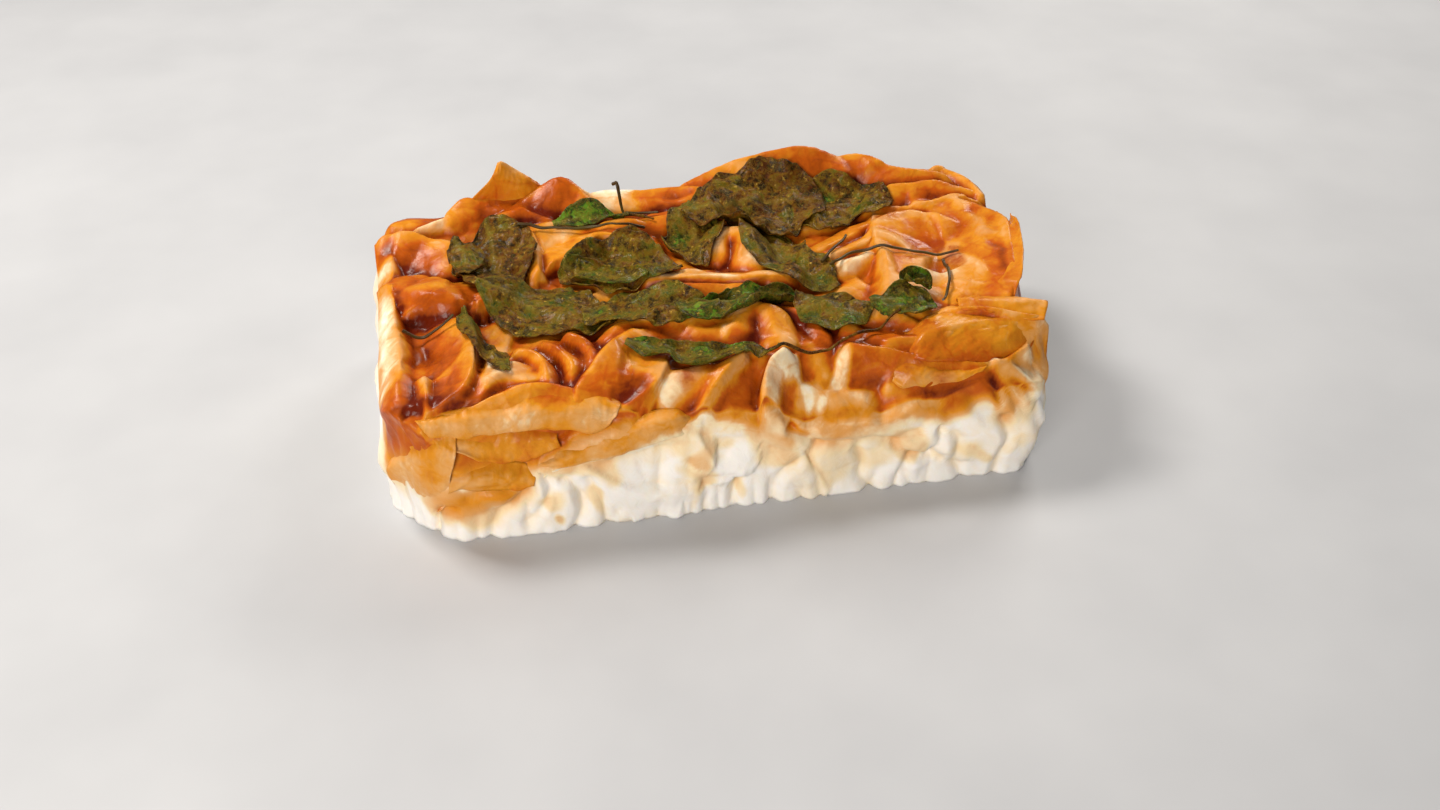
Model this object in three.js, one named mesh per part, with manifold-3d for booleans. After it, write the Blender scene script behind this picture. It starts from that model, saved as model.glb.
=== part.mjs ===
// A small oblong spanakopita: crumpled filo over a solid filling, with baked spinach leaves and
// their stems laid on top. Millimetres, +Z up, origin under the middle of the pie.
//
// The crust is one closed solid: a sheet that covers the top, runs down the pleated walls and is
// closed by a flat base. Its relief is a list of folds, each a crest line with a fall on either
// side. Leaves and stems are thin solids that rest on whatever lies below them.

import * as THREE from 'three';
import { mergeVertices } from 'three/addons/utils/BufferGeometryUtils.js';
import Module from 'manifold-3d';

const wasm = await Module();
wasm.setup();

// ---- driving dimensions --------------------------------------------------------------------

const LENGTH = 210;            // left to right, at the widest part of the walls
const DEPTH = 118;             // front to back
const CORNER_RADIUS = 15;
const FRONT_LEFT_RADIUS = 20;  // the blunter corner, where the sheet is tucked under
const FRONT_RIGHT_RADIUS = 10; // the sharpest corner
const FRONT_LEFT_CUT = 4.5;    // how much its foot cuts across that corner
const RIGHT_SKEW = 5;          // how much further out the right end stands at the back
const LEFT_INSET = 2;          // how much shorter the left half is
const TOP_HEIGHT = 43.5;       // middle of the top, between the folds
const LEFT_SHOULDER = 9;       // width over which the top rounds down to the front rim, at the left
const RIGHT_SHOULDER = 14;     // and at the right
const END_SHOULDER = 8;        // the same at the two ends, and how far the top sinks there
const LEFT_END_DROP = 10;
const RIGHT_END_DROP = 8;
const BACK_RISE = 4;           // how much higher the back is
const WALL_BULGE = 1.6;        // belly of the wall at half height
const FOOT_FLARE = 1.7;        // how far the bottom edge stands out
const PLEAT_DEPTH = 3.4;       // pleats along the foot of the wall
const PLEATS = 48;             // pleats round the pie
const PLEAT_SINK = 1.4;        // how far the notches between them sink in
const PLEAT_RISE = 40;         // height over which they lean their full way
const WALL_CREASE = 0.8;       // depth of the slanting creases across the wall
const CRUMPLE = 1.1;           // height of the small creases between the folds

const LEAF_THICKNESS = 0.8;
const STEM_RADIUS = 0.9;
const REST_GAP = 0.35;         // clearance between things that lie on each other

const TOP_COLUMNS = 68;
const TOP_ROWS = 38;
const WALL_ROWS = 7;

// The middle of the finished pie, so that the origin comes to lie under it.
const CENTRE = new THREE.Vector2(2.11, -0.59);

// Height of the front rim, through points [x, z].
const FRONT_RIM = [
  [-104, 28], [-92, 23], [-80, 20], [-68, 20], [-60, 22], [-52, 26], [-45, 30], [-37, 33], [-25, 36],
  [-14, 36], [0, 37], [8, 36], [16, 33], [25, 29], [34, 28], [45, 29], [57, 32], [66, 32], [74, 30],
  [85, 29], [95, 30], [104, 29],
];

// ---- folds -----------------------------------------------------------------------------------
// Each crest runs through points [x, y, z]. Seen along that direction, the sheet falls away over
// `left` mm on its left and `right` mm on its right. A round of 0 gives flat facets that meet in
// a sharp ridge, and 1 gives a swollen roll.

const FOLDS = [
  // back left corner
  { crest: [[-98, 38, 53], [-89, 38, 53], [-84, 35, 52], [-77, 31, 52]], left: 4, right: 15, round: 0.2 },
  { crest: [[-87, 45, 51], [-81, 46, 52], [-75, 48, 52], [-71, 48, 51]], left: 3, right: 3, round: 0.5 },
  { crest: [[-75, 50, 53], [-70, 53, 56], [-63, 53, 54], [-55, 50, 53]], left: 4, right: 7, round: 0.7 },
  { crest: [[-59, 43, 53], [-54, 45, 54], [-51, 45, 54], [-45, 41, 52]], left: 5, right: 4, round: 0.7 },
  { crest: [[-52, 50, 54], [-44, 53, 58], [-37, 54, 60], [-31, 50, 56]], left: 4, right: 11, round: 0.5 },
  { crest: [[-69, 52, 54], [-62, 55, 57], [-54, 55, 58], [-46, 53, 54]], left: 4, right: 8, round: 0.2 },
  {
    crest: [[-69, 54.4, 54], [-63, 54.4, 58], [-57, 54.4, 68.5], [-50, 54.4, 62], [-43, 55, 56]],
    left: 4, right: 5, round: 0,
  },
  // left end
  { crest: [[-92, 6, 51], [-86, 1, 54], [-79, -2, 54], [-73, -1, 51]], left: 17, right: 7, round: 0.8 },
  {
    crest: [[-97, 36, 50], [-97, 12, 49], [-96, -13, 49], [-95, -42, 48], [-96, -54, 42]],
    left: 5, right: 6, round: 0.25,
  },
  {
    crest: [[-74, -15, 51], [-73, -31, 52], [-75, -45, 51], [-85, -52, 46]],
    left: 3, right: 13, round: 0.1,
  },
  { crest: [[-87, -40, 49], [-87, -50, 47], [-90, -57, 40]], left: 3, right: 4, round: 0.2 },
  // front left: shell folds, strips and ribbons
  {
    crest: [[-59, -31, 49], [-55, -34, 50], [-52, -41, 50], [-52, -50, 47]],
    left: 4, right: 3, round: 0.5,
  },
  {
    crest: [[-51, -29, 49], [-47, -34, 50], [-44, -41, 49], [-45, -49, 46]],
    left: 4, right: 3, round: 0.5,
  },
  {
    crest: [[-43, -27, 49], [-40, -31, 49], [-38, -38, 49], [-40, -46, 47]],
    left: 4, right: 3, round: 0.5,
  },
  {
    crest: [[-73, -49, 47], [-69, -44, 49], [-63, -42, 49], [-57, -45, 48]],
    left: 7, right: 4, round: 0.8,
  },
  {
    crest: [[-88, -50, 45], [-79, -48, 46], [-71, -44, 48], [-67, -36, 49]],
    left: 4, right: 4, round: 0.1,
  },
  { crest: [[-84, -46, 46], [-77, -43, 47], [-71, -38, 48]], left: 4, right: 4, round: 0.1 },
  {
    crest: [[-92, -52, 43], [-76, -53, 45], [-58, -50, 48], [-43, -52, 46], [-31, -56, 42]],
    left: 5, right: 9, round: 0.4,
  },
  {
    crest: [[-43, -52, 47], [-38, -46, 49], [-31, -37, 50], [-23, -30, 50]],
    left: 7, right: 14, round: 0.1,
  },
  {
    crest: [[-32, -57, 42], [-26, -54, 44], [-20, -50, 46], [-17, -44, 48]],
    left: 13, right: 3, round: 0.1,
  },
  // middle, behind and between the leaves
  { crest: [[-53, 44, 50], [-50, 30, 51], [-50, 12, 50]], left: 4, right: 6, round: 0.3 },
  { crest: [[-50, 38, 50], [-46, 39, 51], [-38, 38, 51]], left: 3, right: 15, round: 0.3 },
  { crest: [[-41, 18, 50], [-32, 26, 51], [-25, 28, 51], [-15, 23, 50]], left: 9, right: 3, round: 0.6 },
  { crest: [[-24, 33, 51], [-8, 36, 51], [4, 36, 51]], left: 6, right: 6, round: 0.6 },
  { crest: [[11, 17, 49], [16, 22, 52], [20, 15, 52], [20, 6, 50]], left: 7, right: 7, round: 0.7 },
  {
    crest: [[-14, 3, 48], [-2, 1, 49], [8, -1, 49], [22, -3, 49], [29, -4, 48]],
    left: 6, right: 4, round: 0.8,
  },
  { crest: [[-14, -4, 48], [2, -6, 48], [16, -8, 48]], left: 3, right: 5, round: 0.6 },
  { crest: [[-28, -25, 49], [-15, -23, 49], [0, -26, 48], [8, -30, 47]], left: 6, right: 8, round: 0.5 },
  { crest: [[8, -30, 49], [14, -24, 51], [18, -27, 51], [19, -37, 48]], left: 7, right: 6, round: 0.7 },
  { crest: [[22, -23, 49], [30, -27, 49], [33, -36, 47]], left: 5, right: 4, round: 0.4 },
  { crest: [[33, -25, 49], [40, -31, 49], [42, -38, 47]], left: 5, right: 4, round: 0.4 },
  { crest: [[46, -28, 49], [55, -31, 49], [62, -37, 48]], left: 5, right: 5, round: 0.4 },
  // back rim
  { crest: [[-32, 54, 51], [-20, 54, 53], [-10, 54, 52]], left: 5, right: 10, round: 0.6 },
  {
    crest: [[5, 52, 53], [21, 55, 59], [39, 55, 62], [50, 55, 63], [60, 53, 59]],
    left: 5, right: 9, round: 0.5,
  },
  { crest: [[-14, 53, 52], [2, 50, 54], [14, 46, 54], [24, 44, 53]], left: 6, right: 8, round: 0.5 },
  {
    crest: [[57, 53, 58], [68, 53, 59], [76, 46, 57], [84, 42, 56], [96, 40, 55]],
    left: 5, right: 7, round: 0.4,
  },
  { crest: [[76, 36, 53], [85, 36, 54], [94, 34, 54], [103, 31, 53]], left: 5, right: 7, round: 0.3 },
  { crest: [[68, 29, 50], [85, 25, 52], [95, 27, 53], [104, 25, 52]], left: 4, right: 7, round: 0.1 },
  { crest: [[99, 50, 52], [104, 40, 53], [106, 28, 53]], left: 5, right: 5, round: 0.5 },
  // right end
  { crest: [[66, 17, 51], [73, 20, 52], [81, 20, 52], [91, 12, 51]], left: 8, right: 17, round: 0.2 },
  { crest: [[66, 20, 50], [64, 8, 51], [63, -5, 51], [60, -20, 50]], left: 25, right: 6, round: 0.1 },
  { crest: [[41, 9, 48], [51, 14, 49], [61, 20, 49], [67, 23, 49]], left: 6, right: 4, round: 0.6 },
  { crest: [[42, 3, 48], [51, 7, 49], [60, 11, 49], [65, 14, 49]], left: 6, right: 4, round: 0.6 },
  { crest: [[45, -3, 48], [53, -1, 49], [60, 2, 49]], left: 5, right: 4, round: 0.6 },
  {
    crest: [[97, 20, 53], [104, 13, 55], [106, 4, 56], [103, -9, 56], [98, -25, 55], [92, -35, 51]],
    left: 4, right: 10, round: 0.1,
  },
  { crest: [[87, 6, 51], [88, -4, 52], [85, -14, 52], [80, -24, 51]], left: 9, right: 6, round: 0.2 },
  { crest: [[76, -37, 51], [84, -39, 52], [92, -42, 51], [100, -44, 50]], left: 10, right: 3, round: 0.2 },
  { crest: [[52, -44, 47], [68, -45, 48], [81, -45, 48], [98, -43, 48]], left: 8, right: 6, round: 0.2 },
  { crest: [[62, -50, 44], [72, -52, 42], [84, -53, 41], [95, -49, 43]], left: 6, right: 3, round: 0.2 },
  // front rim
  {
    crest: [[40, -45, 46], [50, -47, 45], [60, -50, 44], [70, -52, 42], [79, -54, 41]],
    left: 5, right: 3, round: 0.2,
  },
  { crest: [[50, -53, 36], [60, -54, 37], [70, -55, 38], [79, -55, 40]], left: 5, right: 3, round: 0.2 },
  { crest: [[24, -49, 38], [36, -50, 38], [46, -50, 36]], left: 4, right: 5, round: 0.8 },
  {
    crest: [[-87, -54, 39], [-78, -54, 37], [-63, -54, 37], [-51, -54, 37], [-40, -55, 35], [-32, -55, 38]],
    left: 4, right: 3, round: 0.2,
  },
  {
    crest: [[-79, -56, 28], [-70, -56, 29], [-62, -56, 30], [-50, -56, 33], [-38, -56, 36]],
    left: 4, right: 3, round: 0.3,
  },
  { crest: [[-80, -52, 41], [-82, -55, 35], [-84, -57, 27]], left: 5, right: 9, round: 0.1 },
  { crest: [[-16, -48, 45], [-8, -46, 46], [-1, -46, 46]], left: 5, right: 5, round: 0.7 },
  { crest: [[-10, -58, 38], [-5, -55, 44], [1, -50, 48], [7, -46, 49]], left: 6, right: 6, round: 0.6 },
  { crest: [[11, -59, 39], [12, -55, 44], [15, -50, 48], [20, -46, 49]], left: 4, right: 6, round: 0.6 },
  { crest: [[79, -49, 43], [86, -53, 39], [93, -58, 33]], left: 5, right: 4, round: 0.5 },
  { crest: [[87, -46, 44], [94, -50, 41], [101, -55, 36]], left: 4, right: 4, round: 0.5 },
];

// Folds on the front wall, through points [x, z, how far it stands out]; left is up.
const WALL_FOLDS = [
  { crest: [[-84, 24, 2.4], [-86, 18, 3], [-89, 11, 1.4]], left: 8, right: 14, round: 0.1 },
  { crest: [[-80, 15, 1], [-74, 17, 3], [-68, 17, 3], [-62, 19, 2]], left: 5, right: 6, round: 0.5 },
  {
    crest: [[-62, 22, 2], [-52, 27, 3.4], [-38, 33, 4], [-25, 36, 4], [-15, 36, 3]],
    left: 5, right: 9, round: 0.7,
  },
  {
    crest: [
      [-3, 37, 2], [3, 37, 3], [12, 34, 3], [20, 30, 4], [27, 27, 4],
      [34, 26, 4], [45, 28, 4], [57, 32, 4], [66, 32, 3], [74, 27, 2],
    ],
    left: 5, right: 10, round: 0.7,
  },
  {
    crest: [[-46, 27, 2], [-41, 20, 3.6], [-34, 13, 3.8], [-26, 10, 3.6], [-15, 8, 3]],
    left: 5, right: 8, round: 0.4,
  },
  { crest: [[-15, 10, 2.6], [-17, 1, 3.4]], left: 5, right: 6, round: 0.4 },
  { crest: [[66, 32, 2], [73, 27, 3.4], [80, 20, 3.8], [85, 10, 3.4]], left: 5, right: 9, round: 0.6 },
  { crest: [[80, 30, 2], [90, 24, 3.4], [95, 17, 3.6], [98, 8, 3]], left: 5, right: 6, round: 0.6 },
];

// ---- leaves ----------------------------------------------------------------------------------
// A leaf's midrib runs through `rib` [x, y]; `left` and `right` are how wide it is on each side of
// it, from its foot to its tip, `curl` lifts its edges and `wave` ripples it. Leaves are listed from
// the lowest up, in the order they were laid.
// A stem leaves the last point of the rib and runs through `stem`.

const LEAVES = [
  {
    name: 'leaf_left', rib: [[-64, 44], [-63, 33], [-63, 18], [-61, 4], [-59, -8]],
    left: [2, 13, 14, 11, 8, 1], right: [2, 10, 15, 13, 9, 1], curl: 1.2, wave: 1.4,
  },
  {
    name: 'leaf_front_left', rib: [[-69, 0], [-56, -6], [-43, -13], [-29, -20]],
    left: [2, 9, 14, 16, 13, 2], right: [2, 10, 13, 13, 9, 2], curl: 0.6, wave: 0.8,
  },
  {
    name: 'leaf_front_middle', rib: [[-38, -16], [-16, -15], [6, -20]],
    left: [4, 10, 12, 12, 10, 3], right: [3, 10, 12, 12, 9, 3], curl: 0.6, wave: 0.8,
  },
  {
    name: 'leaf_tail', rib: [[-74, -8], [-72, -22], [-67, -34], [-63, -44]],
    left: [1, 3, 4, 4, 4, 1], right: [1, 3, 4, 4, 4, 1], curl: 0.4, wave: 0.6,
  },
  {
    name: 'leaf_bright', rib: [[-42, 37], [-30, 40], [-16, 36]],
    left: [1, 4, 5, 5, 4, 1], right: [1, 3, 4, 4, 3, 1], curl: 0.8, wave: 0.5,
    stem: [[-11, 36], [-8, 34]],
  },
  {
    name: 'leaf_curled', rib: [[-43, 11], [-30, 12], [-16, 10], [-3, 6]],
    left: [2, 10, 14, 14, 11, 3], right: [2, 8, 14, 15, 11, 3], curl: 2.2, wave: 1.0,
  },
  {
    name: 'leaf_centre', rib: [[5, 42], [5, 26], [4, 9]],
    left: [2, 8, 10, 9, 6, 2], right: [2, 8, 11, 11, 7, 2], curl: 1.6, wave: 1.0,
  },
  {
    name: 'leaf_slope', rib: [[27, 30], [28, 16], [34, 2], [44, -12]],
    left: [3, 10, 11, 10, 8, 3], right: [3, 9, 11, 11, 8, 2], curl: 0.8, wave: 0.8,
  },
  {
    name: 'leaf_back_right', rib: [[38, 35], [52, 36], [64, 34], [74, 29]],
    left: [5, 10, 12, 11, 9, 3], right: [4, 12, 15, 14, 9, 3], curl: 0.8, wave: 1.2,
  },
  {
    name: 'leaf_back', rib: [[2, 33], [18, 38], [34, 39], [52, 37]],
    left: [2, 8, 12, 13, 12, 5], right: [3, 12, 17, 18, 15, 5], curl: 0.3, wave: 0.8,
  },
  {
    name: 'leaf_rolled', rib: [[-9, -23], [6, -21], [20, -17], [34, -15]],
    left: [3, 9, 10, 9, 7, 2], right: [3, 9, 10, 10, 7, 2], curl: 1.8, wave: 0.6,
  },
  {
    name: 'leaf_round', rib: [[27, -29], [39, -27], [52, -27]],
    left: [3, 10, 12, 12, 9, 3], right: [3, 9, 12, 11, 9, 3], curl: 0.6, wave: 0.6,
  },
  {
    name: 'leaf_right', rib: [[50, -30], [60, -31], [71, -32]],
    left: [2, 5, 7, 8, 7, 2], right: [2, 5, 6, 6, 5, 2], curl: 2.4, wave: 1.2,
  },
  {
    name: 'leaf_front', rib: [[-27, -35], [-12, -41], [4, -44], [18, -45]],
    left: [2, 6, 7, 6, 4, 1], right: [2, 6, 7, 6, 4, 1], curl: 1.6, wave: 0.6,
    stem: [[34, -44], [48, -40], [58, -36]],
  },
];

// Loose stems, each through points [x, y], or [x, y, z] where one stands up from the pie.
const STEMS = [
  { name: 'stem_long', path: [[-54, 37], [-40, 34], [-27, 32], [-12, 30]] },
  { name: 'stem_upright', path: [[-20, 46, 60], [-18, 43, 56], [-14, 40], [-6, 38]] },
  { name: 'stem_left', path: [[-93, -15], [-85, -16], [-77, -15]] },
  { name: 'stem_fork', path: [[42, -1], [48, 6], [54, 14]] },
  { name: 'stem_right', path: [[44, -4], [54, 2], [66, 0], [78, -3], [87, -5]] },
  { name: 'stem_bent', path: [[81, -7], [80, -18], [74, -30]] },
];

// ---- materials -------------------------------------------------------------------------------

const filo = new THREE.MeshStandardMaterial({ name: 'filo', color: '#d98a3c', roughness: 0.5, metalness: 0 });
const spinach = new THREE.MeshStandardMaterial({ name: 'spinach', color: '#4d4a1c', roughness: 0.55, metalness: 0 });
const stalk = new THREE.MeshStandardMaterial({ name: 'stalk', color: '#5b4a2c', roughness: 0.5, metalness: 0 });

// ---- small helpers ---------------------------------------------------------------------------

const clamp = THREE.MathUtils.clamp;
const lerp = THREE.MathUtils.lerp;
const smooth = (t) => THREE.MathUtils.smoothstep(t, 0, 1);

// A zigzag between -1 and 1 with a period of 1, which folds a plane into flat facets.
const zigzag = (t) => 4 * Math.abs(t - Math.floor(t + 0.5)) - 1;

function curveThrough(points) {
  return new THREE.CatmullRomCurve3(points.map(([x, y, z = 0]) => new THREE.Vector3(x, y, z)));
}

function geometryFrom(positions, triangles) {
  const geometry = new THREE.BufferGeometry();
  geometry.setAttribute('position', new THREE.Float32BufferAttribute(positions, 3));
  geometry.setIndex(triangles);
  return geometry;
}

// ---- crust -----------------------------------------------------------------------------------

const HALF_LENGTH = LENGTH / 2 - WALL_BULGE;
const HALF_DEPTH = DEPTH / 2 - WALL_BULGE;

// Crests are sampled once, so that a height is worked out quickly.
const CREST_STEP = 4;
function withLine(fold) {
  const curve = curveThrough(fold.crest);
  return { ...fold, line: curve.getPoints(Math.ceil(curve.getLength() / CREST_STEP)) };
}
const topFolds = FOLDS.map(withLine);
const wallFolds = WALL_FOLDS.map(withLine);

// The height at x of a line through points [x, z].
function heightAlong(line, x) {
  const next = Math.max(1, line.findIndex(([at]) => at > x));
  const [[x0, z0], [x1, z1]] = [line[next - 1], line[next]];
  return lerp(z0, z1, clamp((x - x0) / (x1 - x0), 0, 1));
}

// How high the sheet lies before it is folded: it rounds over to the front rim and the ends.
function plateau(x, y) {
  const right = smooth((x + 5) / 30);
  const reach = lerp(LEFT_SHOULDER, RIGHT_SHOULDER, right);
  const out = clamp((-y - HALF_DEPTH + reach) / reach, 0, 1);
  const front = (TOP_HEIGHT - heightAlong(FRONT_RIM, x)) * out ** (1.4 - 0.7 * right);
  const past = clamp((Math.abs(x) - HALF_LENGTH + END_SHOULDER) / END_SHOULDER, 0, 1);
  const end = past ** 1.7 * (x < 0 ? LEFT_END_DROP : RIGHT_END_DROP * smooth((10 - y) / 30));
  const back = smooth((y - 0.3 * HALF_DEPTH) / (0.6 * HALF_DEPTH));
  return TOP_HEIGHT - Math.hypot(front, end) + BACK_RISE * back;
}

// Small creases: three zigzags across each other, bent by slow waves.
function crumple(x, y) {
  const bent = 5 * Math.sin(y / 17 + 1) + 4 * Math.sin(x / 23);
  const a = zigzag((x + 0.45 * y + bent) / 19);
  const b = zigzag((0.35 * x - y + 0.7 * bent) / 15 + 0.3);
  const c = zigzag((x - 0.8 * y - bent) / 27 + 0.6);
  return CRUMPLE * (0.5 * a + 0.45 * b + 0.4 * c);
}

// The fall of a fold at a share s of its width: straight, or swollen where it is round.
function fall(s, round) {
  return (1 - round) * (1 - s) + round * Math.sqrt(1 - s * s);
}

function foldHeight(fold, x, y, ground) {
  let height = ground;
  for (let i = 1; i < fold.line.length; i += 1) {
    const a = fold.line[i - 1];
    const b = fold.line[i];
    const dx = b.x - a.x;
    const dy = b.y - a.y;
    const t = clamp(((x - a.x) * dx + (y - a.y) * dy) / (dx * dx + dy * dy), 0, 1);
    const away = Math.hypot(x - a.x - t * dx, y - a.y - t * dy);
    const onLeft = dx * (y - a.y) - dy * (x - a.x) > 0;
    const share = away / (onLeft ? fold.left : fold.right);
    if (share < 1) {
      const top = lerp(a.z, b.z, t);
      height = Math.max(height, ground + (top - ground) * fall(share, fold.round));
    }
  }
  return height;
}

function topHeight(x, y) {
  const ground = plateau(x, y) + crumple(x, y);
  return topFolds.reduce((height, fold) => Math.max(height, foldHeight(fold, x, y, ground)), ground);
}

// Takes a point of the square [-1, 1] x [-1, 1] to the plan of the pie, rounding its corners,
// and gives the way out of the pie there.
function plan(u, v) {
  const frontRadius = u < 0 ? FRONT_LEFT_RADIUS : FRONT_RIGHT_RADIUS;
  const radius = v < 0 ? frontRadius : CORNER_RADIUS;
  const point = new THREE.Vector2(Math.abs(u) * HALF_LENGTH, Math.abs(v) * HALF_DEPTH);
  const inset = new THREE.Vector2(HALF_LENGTH - radius, HALF_DEPTH - radius);
  const past = point.clone().sub(inset);
  const out = Math.abs(u) > Math.abs(v) ? new THREE.Vector2(1, 0) : new THREE.Vector2(0, 1);
  if (past.x > 0 && past.y > 0) {
    out.copy(past).normalize();
    point.copy(inset).addScaledVector(out, Math.max(past.x, past.y));
  }
  const turn = new THREE.Vector2(Math.sign(u) || 1, Math.sign(v) || 1);
  point.multiply(turn);
  point.x += RIGHT_SKEW * Math.max(u, 0) * (1 + v) / 2 + LEFT_INSET * Math.max(-u, 0);
  return { point, out: out.multiply(turn) };
}

// How far round the pie a point on the edge of the square lies, from 0 to 1.
function wayRound(u, v) {
  const half = LENGTH + DEPTH;
  if (Math.abs(u) > Math.abs(v)) {
    return u > 0
      ? (LENGTH + DEPTH * (v + 1) / 2) / (2 * half)
      : (half + LENGTH + DEPTH * (1 - v) / 2) / (2 * half);
  }
  return v < 0
    ? (LENGTH * (u + 1) / 2) / (2 * half)
    : (half + LENGTH * (1 - u) / 2) / (2 * half);
}

// Rounded pleats with notches between them, strongest at the foot and slanting as they rise.
function pleat(round, height) {
  const foot = 2 * Math.PI * round;
  const bend = 9 * Math.sin(5 * foot + 1.3) + 8 * Math.sin(9 * foot + 0.4) + 4 * Math.sin(17 * foot);
  const turn = foot - Math.PI * bend * (height / PLEAT_RISE) ** 1.3 / (LENGTH + DEPTH);
  const uneven = 2.8 * Math.sin(5 * turn + 1) + 2.4 * Math.sin(11 * turn + 2) + 1.4 * Math.sin(19 * turn + 3);
  const strong = 0.65 + 0.3 * Math.sin(7 * turn + 4) + 0.25 * Math.sin(16 * turn + 1);
  const rise = 15 + 7 * Math.sin(6 * turn + 2) + 5 * Math.sin(17 * turn);
  const low = smooth(1.35 - height / (1.6 * rise));
  return strong * low * Math.abs(Math.sin((PLEATS * turn + uneven) / 2)) ** 0.8;
}

// Creases that slant across the wall, at a share s of the way down it.
function wallCrease(round, s) {
  return 0.5 * zigzag(17 * round + 0.7 * s) + 0.5 * zigzag(23 * round - 0.9 * s + 0.2);
}

// How far the folds of the front wall stand out at x and a height.
function wallFold(x, height) {
  return wallFolds.reduce((out, fold) => Math.max(out, foldHeight(fold, x, height, 0)), 0);
}

// A point of the wall: s is 0 at the rim and 1 at the foot.
function wallPoint(u, v, s) {
  const { point, out } = plan(u, v);
  const height = topHeight(point.x, point.y) * (1 - s);
  const round = wayRound(u, v);
  const belly = WALL_BULGE * Math.sin(Math.PI * Math.min(1, 1.15 * s));
  const foot = FOOT_FLARE * s ** 2;
  const flute = (PLEAT_DEPTH * pleat(round, height) - PLEAT_SINK) * smooth(5 * s);
  const crease = WALL_CREASE * wallCrease(round, s) * Math.sin(Math.PI * s);
  const onFront = v < 0 && Math.abs(v) >= Math.abs(u);
  const fold = onFront ? 0.6 * wallFold(point.x, height) * smooth(5 * s) : 0;
  const cut = u < 0 && v < 0 ? 2 * FRONT_LEFT_CUT * s * out.x * out.y : 0;
  const away = belly + foot + flute + crease + fold - cut;
  return [point.x + out.x * away, point.y + out.y * away, height];
}

// The sheet is a grid whose outer rows run down the wall; a fan of triangles closes the base.
function crustGeometry() {
  const columns = TOP_COLUMNS + 2 * WALL_ROWS;
  const rows = TOP_ROWS + 2 * WALL_ROWS;
  const positions = [];
  const triangles = [];
  const at = (i, j) => j * (columns + 1) + i;

  for (let j = 0; j <= rows; j += 1) {
    for (let i = 0; i <= columns; i += 1) {
      const a = i - columns / 2;
      const b = j - rows / 2;
      const down = Math.max(Math.abs(a) - TOP_COLUMNS / 2, Math.abs(b) - TOP_ROWS / 2, 0);
      const u = clamp(a / (TOP_COLUMNS / 2 + down), -1, 1);
      const v = clamp(b / (TOP_ROWS / 2 + down), -1, 1);
      if (down > 0) {
        positions.push(...wallPoint(u, v, down / WALL_ROWS));
      } else {
        const { point } = plan(u, v);
        positions.push(point.x, point.y, topHeight(point.x, point.y));
      }
    }
  }

  for (let j = 0; j < rows; j += 1) {
    for (let i = 0; i < columns; i += 1) {
      const [a, b, c, d] = [at(i, j), at(i + 1, j), at(i + 1, j + 1), at(i, j + 1)];
      const slanted = (i < columns / 2) === (j < rows / 2);
      triangles.push(...(slanted ? [a, b, c, a, c, d] : [a, b, d, b, c, d]));
    }
  }

  const foot = [];
  for (let i = 0; i < columns; i += 1) foot.push(at(i, 0));
  for (let j = 0; j < rows; j += 1) foot.push(at(columns, j));
  for (let i = columns; i > 0; i -= 1) foot.push(at(i, rows));
  for (let j = rows; j > 0; j -= 1) foot.push(at(0, j));
  const middle = positions.length / 3;
  positions.push(0, 0, 0);
  foot.forEach((from, k) => triangles.push(middle, foot[(k + 1) % foot.length], from));
  return geometryFrom(positions, triangles);
}

// ---- what lies on top ------------------------------------------------------------------------

// The height of everything laid so far, on a grid of 1 mm cells.
class Relief {
  constructor() {
    this.reach = Math.ceil(LENGTH / 2) + 8;
    this.size = 2 * this.reach + 1;
    this.cells = new Float32Array(this.size * this.size);
  }

  cell(x, y) {
    return (Math.round(y) + this.reach) * this.size + Math.round(x) + this.reach;
  }

  // Raises every cell that a triangle of the geometry covers.
  add(geometry) {
    const position = geometry.getAttribute('position');
    const index = geometry.index;
    const triangle = new THREE.Triangle();
    const weights = new THREE.Vector3();
    for (let k = 0; k < index.count; k += 3) {
      triangle.setFromAttributeAndIndices(position, index.getX(k), index.getX(k + 1), index.getX(k + 2));
      const { a, b, c } = triangle;
      const flat = [a, b, c].map((p) => new THREE.Vector3(p.x, p.y, 0));
      const low = new THREE.Vector2(Math.min(a.x, b.x, c.x), Math.min(a.y, b.y, c.y)).floor();
      const high = new THREE.Vector2(Math.max(a.x, b.x, c.x), Math.max(a.y, b.y, c.y)).ceil();
      const top = Math.max(a.z, b.z, c.z);
      for (let y = low.y; y <= high.y; y += 1) {
        for (let x = low.x; x <= high.x; x += 1) {
          const inside = THREE.Triangle.getBarycoord(new THREE.Vector3(x, y, 0), ...flat, weights);
          if (!inside) continue;
          const outside = Math.min(weights.x, weights.y, weights.z) < -0.5;
          const height = clamp(weights.x * a.z + weights.y * b.z + weights.z * c.z, 0, top);
          const here = this.cell(x, y);
          if (!outside) this.cells[here] = Math.max(this.cells[here], height);
        }
      }
    }
  }

  // The highest point within `radius` of (x, y).
  highest(x, y, radius) {
    let height = 0;
    const reach = Math.ceil(radius);
    for (let dy = -reach; dy <= reach; dy += 1) {
      for (let dx = -reach; dx <= reach; dx += 1) {
        if (dx * dx + dy * dy > radius * radius) continue;
        height = Math.max(height, this.cells[this.cell(x + dx, y + dy)]);
      }
    }
    return height;
  }
}

// ---- leaves ----------------------------------------------------------------------------------

const LEAF_CELL = 4.4;         // length of a leaf's grid cell

// The width on one side of a leaf at a share t of its length.
function widthAt(widths, t) {
  const place = t * (widths.length - 1);
  const i = Math.min(Math.floor(place), widths.length - 2);
  return lerp(widths[i], widths[i + 1], place - i);
}

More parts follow.
